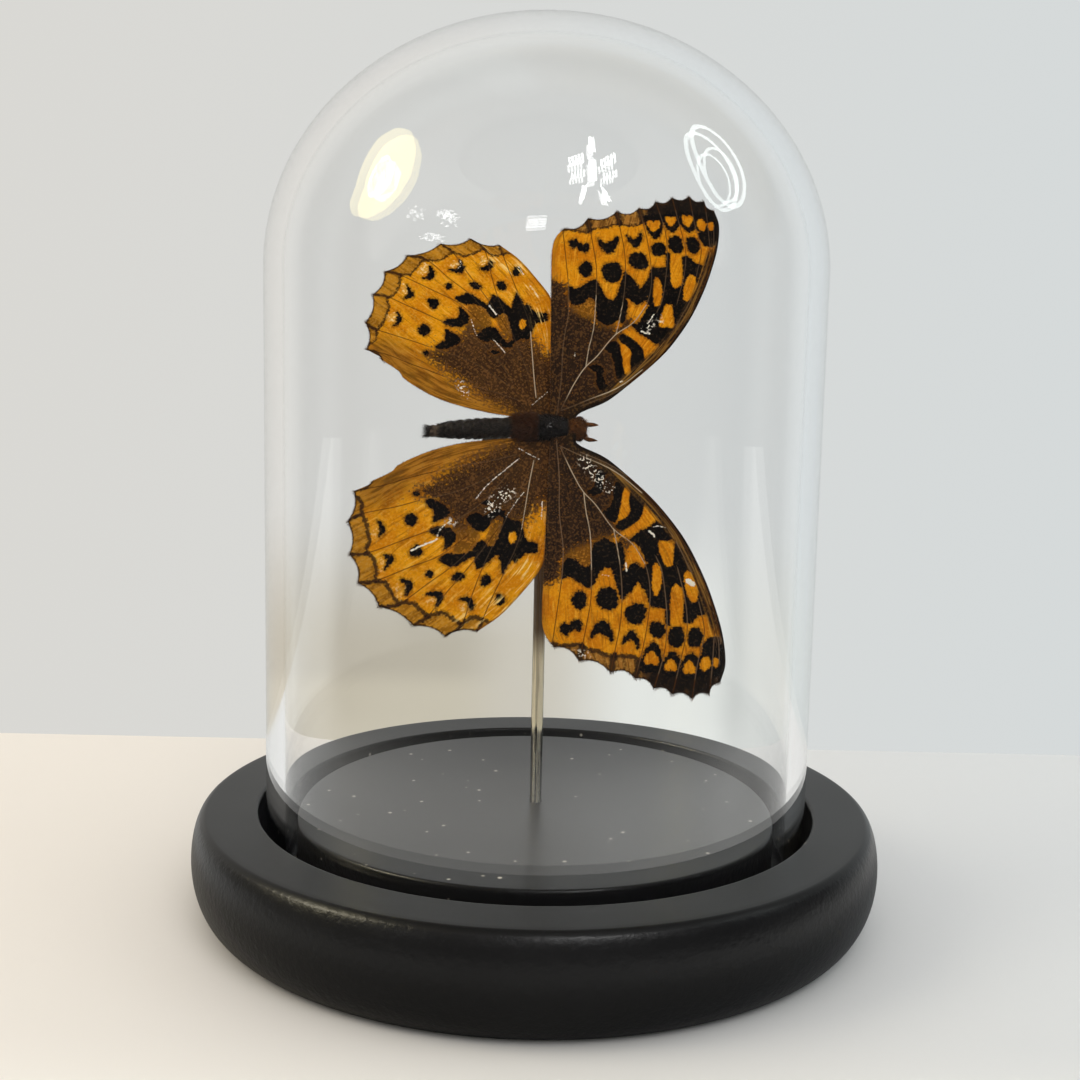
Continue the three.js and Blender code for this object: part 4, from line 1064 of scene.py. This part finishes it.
def wing_under_finish(name, look, hind):
    """The underside: a buff forewing with the same marks fainter, a cinnamon hindwing with a buff band, and
    silver spots."""
    made = Finish(name, roughness=0.6, Specular_IOR_Level=0.25)
    plan, scales, streaks, _ = wing_grain(made, look["seed"] + UNDERSIDE_SEED)
    if hind:
        disc = made.mix(scales, (104, 58, 26), (146, 88, 42))
        buff = made.mix(streaks, (206, 158, 92), (224, 184, 122))
        band = made.times(made.step(made.warped("edge", plan, 0.8, 0.6), 8.2, 7.2),
                          made.step(made.warped("edge", plan, 1.0, 0.4), 3.4, 4.2))
        colour = made.mix(band, disc, buff)
    else:
        ground = made.mix(streaks, (206, 132, 58), (220, 156, 84))
        apex = made.step(made.warped("along", plan, 0.6, 0.8), 21.0, 24.5)
        tip = made.times(apex, made.step(made.value("edge"), 9.0, 5.0))
        colour = made.mix(tip, ground, (142, 92, 50))
        dark = made.step(made.warped("dark", plan, 2.6, 0.16), 0.15, -0.25)
        colour = made.mix(made.times(dark, 0.85), colour, (36, 24, 18))
        colour = made.mix(made.step(made.warped("glow", plan, 2.6, 0.1), 0.1, -0.14), colour, ground)
    colour = made.mix(made.step(made.value("silver"), 0.35, 0.1), colour, (70, 44, 26))
    silver = made.step(made.warped("silver", plan, 2.0, 0.12), 0.05, -0.1)
    colour = made.mix(silver, colour, (228, 226, 214))
    thread = made.times(made.step(made.absolute(made.value("vein")), 0.2, 0.08),
                        made.math("LESS_THAN", made.value("vein_reach"), 0.5))
    colour = made.mix(made.times(thread, 0.6), colour, (120, 76, 38))
    colour = made.mix(made.times(made.step(made.value("edge"), 0.4, 0.15), 0.8), colour, (60, 40, 24))
    made.set("Base Color", colour)
    made.bump(made.plus(scales, streaks), 0.00008, 0.5)
    return made.material


def chitin_finish():
    """The body's skin: black-brown rings on the abdomen, a reddish rear of the thorax, a glossy black
    shield and a brown face, by the distance along the body."""
    made = Finish("body_chitin", Specular_IOR_Level=0.25)
    along = made.value("along")
    place = made.place()
    fine = made.noise(place, 2600, 4.0, 0.7)
    broad = made.noise(place, 500, 3.0)
    grain = made.step(fine, 0.35, 0.65)
    colour = made.mix(grain, (14, 12, 11), (46, 38, 32))
    tail = made.mix(fine, (58, 44, 34), (96, 80, 66))
    colour = made.mix(made.step(along, -16.4, -17.4), colour, tail)
    thorax = made.times(made.step(along, -5.2, -4.0), made.step(along, -0.4, -1.4))
    colour = made.mix(thorax, colour, made.mix(grain, (30, 14, 6), (76, 40, 18)))
    face = made.mix(grain, (50, 27, 8), (122, 72, 28))
    colour = made.mix(made.step(along, 3.8, 4.6), colour, face)
    shield = made.times(made.step(along, -1.2, -0.4), made.step(along, 4.2, 3.6))
    colour = made.mix(made.times(shield, 0.8), colour, made.mix(broad, (8, 8, 9), (24, 21, 20)))
    made.set("Base Color", colour)
    made.set("Roughness", made.spread(shield, 0.5, 0.2))
    combed = made.noise(made.scaled(place, (300, 2400, 2400)), 1.0, 3.0, 0.6)
    made.bump(made.plus(made.plus(fine, broad), combed), 0.00014, 0.6)
    return made.material


def hair_finish(name, dark, light):
    """Hair in two shades that change over a millimetre or so."""
    made = Finish(name, roughness=0.55)
    made.set("Base Color", made.mix(made.noise(made.place(), 900, 3.0), dark, light))
    return made.material


def eye_finish():
    """A dark brown eye with fine facets."""
    made = Finish("eye", roughness=0.22)
    gap, _ = made.cells(made.place(), 9000)
    made.set("Base Color", made.mix(gap, (16, 10, 8), (44, 26, 16)))
    made.bump(gap, 0.00002, 0.4)
    return made.material


# ---- Base, dome and pin ----

def add_base(finishes):
    """The turned base: two elliptical arcs up its side, a flat ring, the dome's groove with rounded lips,
    the raised floor, and the drilled hole."""
    b = BASE
    height, floor, outer, inner = b["height"], b["groove_floor"], b["groove_outer"], b["groove_inner"]
    lower = ellipse((b["foot"], b["belly"]), (b["radius"] - b["foot"], b["belly"]), -90, 0, 28)
    upper = ellipse((b["top"], b["belly"]), (b["radius"] - b["top"], height - b["belly"]), 0, 90, 24)
    hole_floor = height - b["hole_depth"]
    corners = [(b["top"] - 1, height), (outer, height), (outer, floor), (inner, floor), (inner, height),
               (b["hole_radius"], height), (b["hole_radius"], hole_floor), (0, hole_floor)]
    profile = np.vstack([[(0, 0), (b["foot"] - 0.2, 0)], lower, upper[1:], rounded(corners, b["roundings"])])
    points, quads, fans = turned_mesh(profile, BASE_SIDES)
    start = points[quads[:, 0]]
    raised = (np.linalg.norm(start[:, :2], axis=1) < inner - 0.1) & (start[:, 2] > floor - 5)
    which = np.concatenate([raised, np.zeros(len(fans))])
    return make_piece("turned_base", points, quads, fans, finishes, face_materials=which)


def add_dome(finish):
    """The blown dome: a wall of even thickness, straight sides under a cap that is a flattened half ball
    inside and out, and a fire-polished rim."""
    d = DOME
    outer, foot = d["radius"], d["rim"]
    inner = outer - d["wall"]
    spring = d["top"] - d["cap"]
    inside = ellipse((0, spring), (inner, d["cap"] - d["wall"]), 90, 0, 60)
    outside = ellipse((0, spring), (outer, d["cap"]), 0, 90, 60)
    inside[0, 0] = outside[-1, 0] = 0
    straight = np.linspace(spring, foot + 2, 12)[1:]
    corners = [(inner, foot + 1.6), (inner, foot), (outer, foot), (outer, foot + 1.6)]
    rim = rounded(corners, d["roundings"], 8, 0.2)
    down = np.stack([np.full(len(straight), inner), straight], axis=1)
    up = np.stack([np.full(len(straight), outer), straight[::-1]], axis=1)
    mesh = turned_mesh(np.vstack([inside, down, rim, up, outside]), DOME_SIDES)
    return make_piece("blown_dome", *mesh, materials=[finish])


def add_pin(finish):
    """The steel rod, from the bottom of its hole to inside the thorax."""
    p = PIN
    corners = [(0, p["foot"]), (p["radius"], p["foot"]), (p["radius"], p["top"]), (0, p["top"])]
    mesh = turned_mesh(rounded(corners, p["roundings"], 4), PIN_SIDES)
    return make_piece("steel_pin", *mesh, materials=[finish])


# ---- Wings ----

def wing_sheet(plan):
    """Fills the wing's four edges: each inside point is the blend of the two opposite edges one way, plus
    the blend of the other two, less the blend of the four corners."""
    columns, rows = plan["columns"], plan["rows"]
    root = even_path(np.array(plan["root"], dtype=float), columns)
    margin = even_path(scallops(plan["vein_ends"], plan["sag"], plan["centre"]), columns)
    leading = even_path(smooth_path(plan["leading"]), rows)
    inner = even_path(smooth_path(plan["inner"]), rows)
    u = np.linspace(0, 1, columns)[None, :, None]
    v = np.linspace(0, 1, rows)[:, None, None]
    along = (1 - v) * root[None] + v * margin[None]
    across = (1 - u) * inner[:, None] + u * leading[:, None]
    corners = ((1 - u) * (1 - v) * root[0] + u * (1 - v) * root[-1]
               + (1 - u) * v * margin[0] + u * v * margin[-1])
    return along + across - corners


def wing_values(plan, sheet, silver):
    """Distances in millimetres from each point of the wing to its marks, veins and edges."""
    points = sheet.reshape(-1, 2)
    veins = [path_distance(points, smooth_path(vein, 4)) for vein in plan["veins"]]
    reach = np.array([distance for distance, _ in veins])
    nearest = reach.argmin(axis=0)
    row = np.arange(len(points))
    side = np.array([side for _, side in veins])[nearest, row]
    border = np.vstack([smooth_path(plan["border"], 4), plan["border_outside"]])
    spots = np.array([np.linalg.norm(points - [a, b], axis=1) - radius for a, b, radius in silver])
    rows, columns = sheet.shape[:2]
    v, u = np.meshgrid(np.linspace(0, 1, rows), np.linspace(0, 1, columns), indexing="ij")
    margin = scallops(plan["vein_ends"], plan["sag"], plan["centre"])
    return {
        "plan": np.column_stack([points, np.zeros(len(points))]),
        "grain": np.column_stack([u.ravel() * 28, v.ravel() * 40, np.zeros(len(points))]),
        "along": points[:, 0],
        "vein": reach[nearest, row] * side,
        "vein_reach": reach[nearest, row],
        "dark": nearest_loop(points, plan["dark"]),
        "glow": nearest_loop(points, plan["glow"] + [heart(*box) for box in plan["hearts"]]),
        "dull_and_sheen": nearest_loop(points, plan["dull_and_sheen"]),
        "pale": nearest_loop(points, plan["pale"]),
        "brown": nearest_loop(points, [plan["brown"]]),
        "border": loop_distance(points, border),
        "edge": path_distance(points, margin)[0],
        "inner": path_distance(points, smooth_path(plan["inner"]))[0],
        "bright": np.min([path_distance(points, smooth_path(vein, 4))[0] for vein in plan["bright"]], axis=0),
        "lead": path_distance(points, smooth_path(plan["leading"]))[0],
        "silver": spots.min(axis=0),
    }


def placed(plan, mounting, points, height):
    """Carries plan points at a height above the wing's plane to the insect's place: the camber arches the
    plane between root and tip, the wing turns about its hinge, tilts about the body's axis and is lifted
    off it."""
    a, b = points[..., 0], points[..., 1]
    side, hinge = mounting["side"], mounting["hinge"]
    across = 2 * b / plan["reach"] - 1
    height = height + WING_CAMBER * (1 - across**2) / 2
    near_root = np.clip(1 - (b - plan["root_level"]) / ROOT_SPAN, 0, 1)
    turn = math.radians(mounting["turn"])
    da = a - hinge[0]
    db = b - mounting["inset"] * near_root - hinge[1]
    x = hinge[0] + da * math.cos(turn) - db * math.sin(turn)
    out = side * (hinge[1] + da * math.sin(turn) + db * math.cos(turn))
    tilt = math.radians(90 + side * mounting["tilt"])
    y = out * math.cos(tilt) - height * math.sin(tilt) - mounting["lift"]
    z = out * math.sin(tilt) + height * math.cos(tilt)
    return insect_place(np.stack([x, y, z], axis=-1))


def insect_place(points):
    """From the insect's own axes to the frame's: a small turn about Z, then out to its centre."""
    yaw = math.radians(INSECT_YAW)
    x = points[..., 0] * math.cos(yaw) - points[..., 1] * math.sin(yaw)
    y = points[..., 0] * math.sin(yaw) + points[..., 1] * math.cos(yaw)
    return np.stack([x, y, points[..., 2]], axis=-1) + np.array(INSECT_CENTRE)


def wing_relief(values, sheet):
    """Height of the membrane: a raised thread along each vein, a shallow trough between veins, a thicker
    leading edge, and a slow ripple."""
    reach = values["vein_reach"]
    thread = 0.07 * np.exp(-((reach / 0.16) ** 2))
    trough = 0.1 * (1 - np.clip(reach / 1.6, 0, 1) ** 2)
    coast = 0.16 * np.exp(-((values["lead"] / 0.35) ** 2))
    a, b = sheet.reshape(-1, 2).T
    ripple = 0.06 * np.sin(a * 0.9 + 0.5 * np.sin(b * 0.35)) + 0.05 * np.sin(b * 0.8 + a * 0.3)
    return thread + trough + coast + ripple


def wear_and_glint_distance(sheet, places):
    """Distance to the nearest of several paths of wear and painted glints, each less its half width."""
    points = sheet.reshape(-1, 2)
    return np.min([path_distance(points, smooth_path(path, 3))[0] - half for half, path in places], axis=0)


def add_wing(name, plan, sheet, values, finishes):
    """A closed thin plate: the relief on top, its mirror below, and a strip round the four edges."""
    mounting = MOUNTING[name]
    relief = wing_relief(values, sheet).reshape(sheet.shape[:2])
    top = placed(plan, mounting, sheet, relief + WING_THICKNESS / 2)
    under = placed(plan, mounting, sheet, relief - WING_THICKNESS / 2)
    rows, columns = sheet.shape[:2]
    count = rows * columns
    upper = grid_quads(rows, columns)
    lower = upper[:, ::-1] + count
    number = np.arange(count).reshape(rows, columns)
    ring = np.concatenate([number[0, :-1], number[:-1, -1], number[-1, :0:-1], number[:0:-1, 0]])
    following = np.roll(ring, -1)
    strip = np.stack([ring, ring + count, following + count, following], axis=1)
    quads = np.concatenate([upper, lower, strip])
    if mounting["side"] < 0:
        quads = quads[:, ::-1]
    materials = np.concatenate([np.zeros(len(upper)), np.ones(len(lower)), np.zeros(len(strip))])
    values = {**values, "wear_and_glints": wear_and_glint_distance(sheet, WEAR_AND_GLINTS[name]), "frost_and_glints": wear_and_glint_distance(sheet, FROST_AND_GLINTS[name])}
    both = {key: np.concatenate([value, value]) for key, value in values.items()}
    points = np.vstack([top.reshape(-1, 3), under.reshape(-1, 3)])
    return make_piece(name + "_membrane", points, quads, (), finishes, both, materials)


def add_fringe(name, plan, sheet, finish, rng):
    """Short scales standing out from the outer margin, longer at the vein ends, and sparse ones along the
    inner edge."""
    mounting = MOUNTING[name]
    margin = sheet[-1]
    outward = sheet[-1] - sheet[-4]
    inner, inner_out = sheet[12:, 0], sheet[12:, 0] - sheet[12:, 3]
    edge = np.vstack([np.repeat(margin, 5, axis=0), np.repeat(inner, 2, axis=0)])
    out = np.vstack([np.repeat(outward, 5, axis=0), np.repeat(inner_out, 2, axis=0)])
    out /= np.linalg.norm(out, axis=1, keepdims=True)
    ends = np.array(plan["vein_ends"])
    nearest = np.linalg.norm(edge[:, None] - ends[None], axis=2).min(axis=1)
    length = (0.22 + 0.3 * np.exp(-((nearest / 0.7) ** 2))) * rng.uniform(0.6, 1.3, len(edge))
    edge = edge + rng.normal(0, 0.05, edge.shape)
    lean = rng.normal(0, 0.25, edge.shape)
    root = placed(plan, mounting, edge - out * 0.05, np.zeros(len(edge)))
    tip = placed(plan, mounting, edge + out + lean, rng.normal(0, 0.15, len(edge)))
    widths = rng.uniform(0.025, 0.045, len(edge))
    droop = rng.normal(0, 0.12, root.shape)
    hairs = hair_mesh(root, tip - root, length, widths, droop, rng)
    return make_piece(name + "_fringe", *hairs, materials=[finish])


# ---- Body ----

def torso_at(along, angle):
    """A point on the torso and the way out from it: the half width, half depth and shift come from the
    stations by a smooth curve, the abdomen narrows at each ring's groove, and the section is an ellipse."""
    table = smooth_path(TORSO, 8)
    order = np.argsort(table[:, 0])
    width, depth, shift = (np.interp(along, table[order, 0], table[order, k]) for k in (1, 2, 3))
    s = SEGMENTS
    pitch = (s["last"] - s["first"]) / s["count"]
    place = (along - s["first"]) / pitch
    near = (place - np.round(place)) * pitch
    on_abdomen = (along > s["first"] - 0.5) & (along < s["last"] + 0.5)
    groove = s["groove"] * np.exp(-((near / s["width"]) ** 2)) * on_abdomen
    width, depth = width - groove, depth - groove
    point = np.stack([along + 0 * angle, -depth * np.sin(angle), shift + width * np.cos(angle)], axis=-1)
    out = np.stack([0 * angle, -np.sin(angle) / depth, np.cos(angle) / width], axis=-1)
    return point, out / np.linalg.norm(out, axis=-1, keepdims=True)


def add_torso(chitin, eye):
    """Abdomen, thorax and head as one skin of rings with a fine lumpiness, and two ball eyes."""
    along = np.linspace(TORSO[0][0], TORSO[-1][0], TORSO_GRID[0])[:, None]
    angle = np.linspace(0, 2 * np.pi, TORSO_GRID[1], endpoint=False)[None, :]
    point, out = torso_at(along + 0 * angle, angle + 0 * along)
    lumps = 0.05 * np.sin(along * 5.1 + 2 * np.sin(angle * 3)) + 0.04 * np.sin(angle * 7 + along * 2.3)
    point = point + out * lumps[..., None]
    points, quads, fans = closed_rings(point, point[0].mean(axis=0), point[-1].mean(axis=0))
    torso = make_piece("torso", insect_place(points), quads, fans, [chitin], {"along": points[:, 0]})
    profile = ellipse((0, 0), (EYE["radius"], EYE["radius"]), -90, 90, 24)
    profile[0, 0] = profile[-1, 0] = 0
    ball, quads, fans = turned_mesh(profile, EYE["sides"])
    middles = [(EYE["along"], EYE["depth"], TORSO[-1][3] + side * EYE["sideways"]) for side in (1, -1)]
    balls = [(insect_place(ball + np.array(middle)), quads, fans) for middle in middles]
    return torso, make_piece("eyes", *joined(balls), materials=[eye])


def add_limbs(finish):
    """Two pointed palps and four folded legs."""
    limbs = []
    for stations in PALPS + LEGS:
        path = [(a, depth, sideways, radius) for a, sideways, depth, radius in stations]
        points, quads, fans = tube_mesh(path)
        limbs.append((insect_place(points), quads, fans))
    points, quads, fans = joined(limbs)
    on_face = {"along": np.full(len(points), FACE_ALONG)}
    return make_piece("palps_and_legs", points, quads, fans, [finish], on_face)


def fur_on(name, finish, span, angles, count, length, lean, rng):
    """Hairs rooted all over one stretch of the torso, leaning along the body."""
    along = rng.uniform(*span, count)
    angle = rng.uniform(*angles, count)
    root, out = torso_at(along, angle)
    direction = out + np.array([lean, 0, 0]) + rng.normal(0, 0.35, root.shape)
    lengths = rng.uniform(*length, count)
    widths = HAIR_WIDTH * rng.uniform(0.7, 1.2, count)
    droop = np.array([lean * 0.3, 0, 0]) + rng.normal(0, 0.15, root.shape)
    points, quads, triangles = hair_mesh(root - out * 0.05, direction, lengths, widths, droop, rng)
    return make_piece(name, insect_place(points), quads, triangles, [finish])


# ---- Stage, lights and camera ----

def add_stage():
    """A table top whose far edge is just behind the object."""
    across, near, far, thick = TABLE
    points = [(x, y, z) for z in (-thick, 0) for y in (near, far) for x in (-across, across)]
    quads = [(0, 2, 3, 1), (4, 5, 7, 6), (0, 1, 5, 4), (2, 6, 7, 3), (0, 4, 6, 2), (1, 3, 7, 5)]
    make_piece("table", points, quads, (), [table_finish()], smooth=False)


def add_world():
    """A pale room all round. Seen through the glass, low down it is warmer and darker on the left, a painted
    shadow of the dome on the wall, and brighter on the right, painted light. What is mirrored is a dim room
    with a pale wall behind and a faint ceiling, so that dark things under the glass stay dark."""
    world = bpy.data.worlds.new("pale_room")
    bpy.context.scene.world = world
    room = Nodes(world)
    across, deep, high = room.axes(room.node("ShaderNodeTexCoord").outputs["Generated"])[:3]
    wall = room.mix(room.step(across, -0.6, 0.6), (218, 216, 211), (213, 218, 219))
    pale = room.mix(room.step(high, 0.5, 0.9), wall, (1.0, 0.97, 0.92, 1))
    dim = room.mix(room.step(high, 0.35, 0.7), (0.03, 0.03, 0.03, 1), (0.1, 0.1, 0.1, 1))
    light = room.mix(room.bounces("Glossy"), pale, room.mix(room.step(deep, 0.25, 0.6), dim, wall))
    behind_glass = room.bounces("Transmission")
    # Painted shadow of the dome on the low wall seen through the glass, then painted light to the right.
    painted_light_tint = room.mix(room.step(high, -0.226, -0.246), (0.75, 0.69, 0.58, 1), (0.89, 0.82, 0.68, 1))
    for start, end, colour in LOW_PAINTED_LIGHT_TINTS:
        painted_light_tint = room.mix(room.step(across, start, end), painted_light_tint, (*colour, 1))
    low = room.times(behind_glass, room.step(high, -0.11, -0.22))
    light = room.mix(low, light, room.mix(1.0, light, painted_light_tint, "MULTIPLY"))
    strength = room.spread(behind_glass, 1.0, 1.07)
    background = room.node("ShaderNodeBackground", {"Color": light, "Strength": strength})
    room.node("ShaderNodeOutputWorld", {"Surface": background.outputs[0]})


def facing(heading):
    """The place a lamp's distance away in that direction from the dome's middle, and the two level and
    upright axes square to the direction."""
    away = np.array(heading) / np.linalg.norm(heading)
    right = np.cross(away, [0, 0, 1])
    right /= np.linalg.norm(right)
    return LAMP_CENTRE + LAMP_DISTANCE * away, right, np.cross(right, away)


def turned_to(axes, place):
    """The transform that carries a thing's own three axes to those directions, and its origin to that
    place."""
    return Matrix([[*row, spot] for row, spot in zip(np.stack(axes, axis=1), place * MM)] + [[0, 0, 0, 1]])


def add_light(name, heading, size, power, colour, only=()):
    """A soft round lamp in that direction, aimed at the dome's middle, which no reflection shows. One that
    is only for some pieces also puts its highlight on them, and lights nothing else."""
    place, right, up = facing(heading)
    lamp = bpy.data.lights.new(name, "AREA")
    lamp.shape = "DISK"
    lamp.size = size
    lamp.energy = power
    lamp.color = colour
    holder = linked(name, lamp)
    holder.matrix_world = turned_to([-right, up, np.cross(up, right)], place)
    holder.visible_glossy = bool(only)
    holder.visible_transmission = False
    if only:
        lit = bpy.data.collections.new(name + "_lights")
        for piece in only:
            lit.objects.link(piece)
        holder.light_linking.receiver_collection = lit


def add_reflected_lamp(name, heading, outlines, colour, strength):
    """Flat lamps in one direction, facing the dome: closed outlines in millimetres, drawn in the plane
    square to the heading. They glow in reflections only, and anything else sees through them."""
    middle, right, up = facing(heading)
    mesh = bpy.data.meshes.new(name)
    points, faces = [], []
    for outline in outlines:
        flat = np.asarray(outline, dtype=float)
        faces.append([len(points) + k for k in range(len(flat))])
        points.extend((middle + flat[:, :1] * right + flat[:, 1:] * up) * MM)
    mesh.from_pydata(points, [], faces)
    glowing = bpy.data.materials.new(name)
    glowing.cycles.emission_sampling = "NONE"
    nodes = Nodes(glowing)
    clear = nodes.node("ShaderNodeBsdfTransparent").outputs[0]
    surface = nodes.either(nodes.bounces("Glossy"), clear, nodes.glow((*colour, 1), strength))
    nodes.node("ShaderNodeOutputMaterial", {"Surface": surface})
    mesh.materials.append(glowing)
    lamp = linked(name, mesh)
    lamp.visible_camera = lamp.visible_diffuse = lamp.visible_shadow = False


def hoop(centre, radii, lean, width, steps=48):
    """An oval ring cut into short four-sided pieces: an ellipse leaned over by an angle in degrees, less a
    smaller one."""
    turn = math.radians(lean)
    level, steep = np.array([math.cos(turn), math.sin(turn)]), np.array([-math.sin(turn), math.cos(turn)])
    angle = np.linspace(0, 2 * np.pi, steps, endpoint=False)[:, None]
    wide, tall = np.cos(angle) * level, np.sin(angle) * steep
    outer, inner = (np.array(centre) + (radii[0] - cut) * wide + (radii[1] - cut) * tall
                    for cut in (0, width))
    return [[outer[k - 1], outer[k], inner[k], inner[k - 1]] for k in range(steps)]


def louvre(corners, rows, columns, gap=0.3):
    """A four-sided panel cut into rows and columns of small panels with gaps: each corner is the blend of
    the four corners by its share of the way across and up."""
    a, b, c, d = np.asarray(corners, dtype=float)
    panels = []
    for row in range(rows):
        for column in range(columns):
            u = (column + np.array([0, 1 - gap, 1 - gap, 0])[:, None]) / columns
            v = (row + np.array([0, 0, 1 - gap, 1 - gap])[:, None]) / rows
            panels.append((1 - u) * (1 - v) * a + u * (1 - v) * b + u * v * c + (1 - u) * v * d)
    return panels


def add_lamps():
    """A warm bean-shaped lamp on the left, a cool double ring on the right, a fitting of bars and louvres
    overhead in front, a small window and the scattered glints beside it: soft lights for the first three,
    and the shapes that the dome mirrors of all."""
    add_light("warm_light", ROUND_LAMP, 0.6, 3.2, WARM)
    add_light("cool_light", RING_LAMP, 0.6, 0.9, COOL)
    add_light("front_light", FITTING, 0.6, 2.4, WHITE)
    add_reflected_lamp("round_lamp", ROUND_LAMP, [smooth_loop(BEAN, 3)], CREAM, 5.0)
    add_reflected_lamp("round_lamp_core", ROUND_LAMP, [smooth_loop(BEAN_CORE, 3)], WHITE, 14.0)
    add_reflected_lamp("ring_lamp", RING_LAMP, [piece for ring in RINGS for piece in hoop(*ring)], COOL, 6.5)
    slats = [slat for panel in FITTING_LOUVRES for slat in louvre(panel, 1, 5)]
    add_reflected_lamp("fitting", FITTING, FITTING_BARS + slats, WHITE, 16.0)
    add_reflected_lamp("small_window", SMALL_WINDOW, louvre(WINDOW, 5, 1, 0.25), WHITE, 6.5)
    rng = np.random.default_rng(17)
    glints = []
    for across, up, wide, tall, count in GLINTS:
        middle = np.array([across, up]) + rng.uniform(-0.5, 0.5, (count, 2)) * (wide, tall)
        reach = rng.uniform(2, 9, (count, 2)) * (2.2, 1.0)
        glints += [spot + np.array(GLINT) * size for spot, size in zip(middle, reach)]
    add_reflected_lamp("glints", GLINT_HEADING, glints, WHITE, 7.0)


def add_camera():
    """The camera: level with the upper dome, looking a little down, and rolled by about a degree."""
    pitch, roll = np.radians([CAMERA["pitch"], CAMERA["roll"]])
    level = np.array([1.0, 0, 0])
    steep = np.array([0, math.sin(pitch), math.cos(pitch)])
    ahead = np.array([0, math.cos(pitch), -math.sin(pitch)])
    right = level * math.cos(roll) + steep * math.sin(roll)
    up = -level * math.sin(roll) + steep * math.cos(roll)
    camera = bpy.data.cameras.new("camera")
    camera.lens = CAMERA["lens"]
    camera.sensor_width = 36
    camera.clip_start = 0.01
    holder = linked("camera", camera)
    holder.matrix_world = turned_to([right, up, -ahead], np.array(CAMERA["place"]))
    bpy.context.scene.camera = holder


# ---- The whole object ----

def dress(piece, slot, *nodes):
    """The piece rides on the object's only body and stands for those nodes, which are hidden. The slot is not
    used."""
    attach(piece, "root")
    if nodes:
        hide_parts(*nodes)


bpy.context.scene.view_settings.view_transform = "Standard"
bpy.context.scene.view_settings.look = "None"

add_camera()
add_stage()
add_world()
add_lamps()

paints = [black_paint_finish("black_satin_paint", 1.27), black_paint_finish("black_floor_paint", 1.34)]
base = add_base(paints)
dress(base, "painted_wood", "base")
add_light("warm_sheen", ROUND_LAMP, 0.3, 10.0, WARM, [base])
add_light("front_sheen", FITTING, 0.3, 5.5, WHITE, [base])
dome = add_dome(glass_finish())
dome.visible_shadow = False
dress(dome, "dome_glass", "glass_dome")
dress(add_pin(steel_finish()), "pin_steel", "pin")

fringe_finish = hair_finish("fringe_scales", (66, 44, 24), (120, 84, 44))
for kind, plan in (("forewing", FOREWING), ("hindwing", HINDWING)):
    hind = kind == "hindwing"
    sheet = wing_sheet(plan)
    values = wing_values(plan, sheet, SILVER[kind])
    for seed, side in enumerate(("left", "right")):
        name = side + "_" + kind
        rng = np.random.default_rng(11 + seed + 2 * hind)
        look = LOOKS[name]
        top = wing_top_finish(name + "_top", look, hind)
        under = wing_under_finish(name + "_under", look, hind)
        dress(add_wing(name, plan, sheet, values, [top, under]), "wing_membrane", name)
        dress(add_fringe(name, plan, sheet, fringe_finish, rng), "wing_membrane")

chitin = chitin_finish()
torso, eyes = add_torso(chitin, eye_finish())
dress(torso, "insect_body", "body")
dress(eyes, "insect_body")
dress(add_limbs(chitin), "insect_body")
rng = np.random.default_rng(5)
hairs = {kind: hair_finish(kind, *colours) for kind, colours in HAIR_COLOURS.items()}
for name, kind, *where in FURS:
    dress(fur_on(name, hairs[kind], *where, rng), "insect_body")
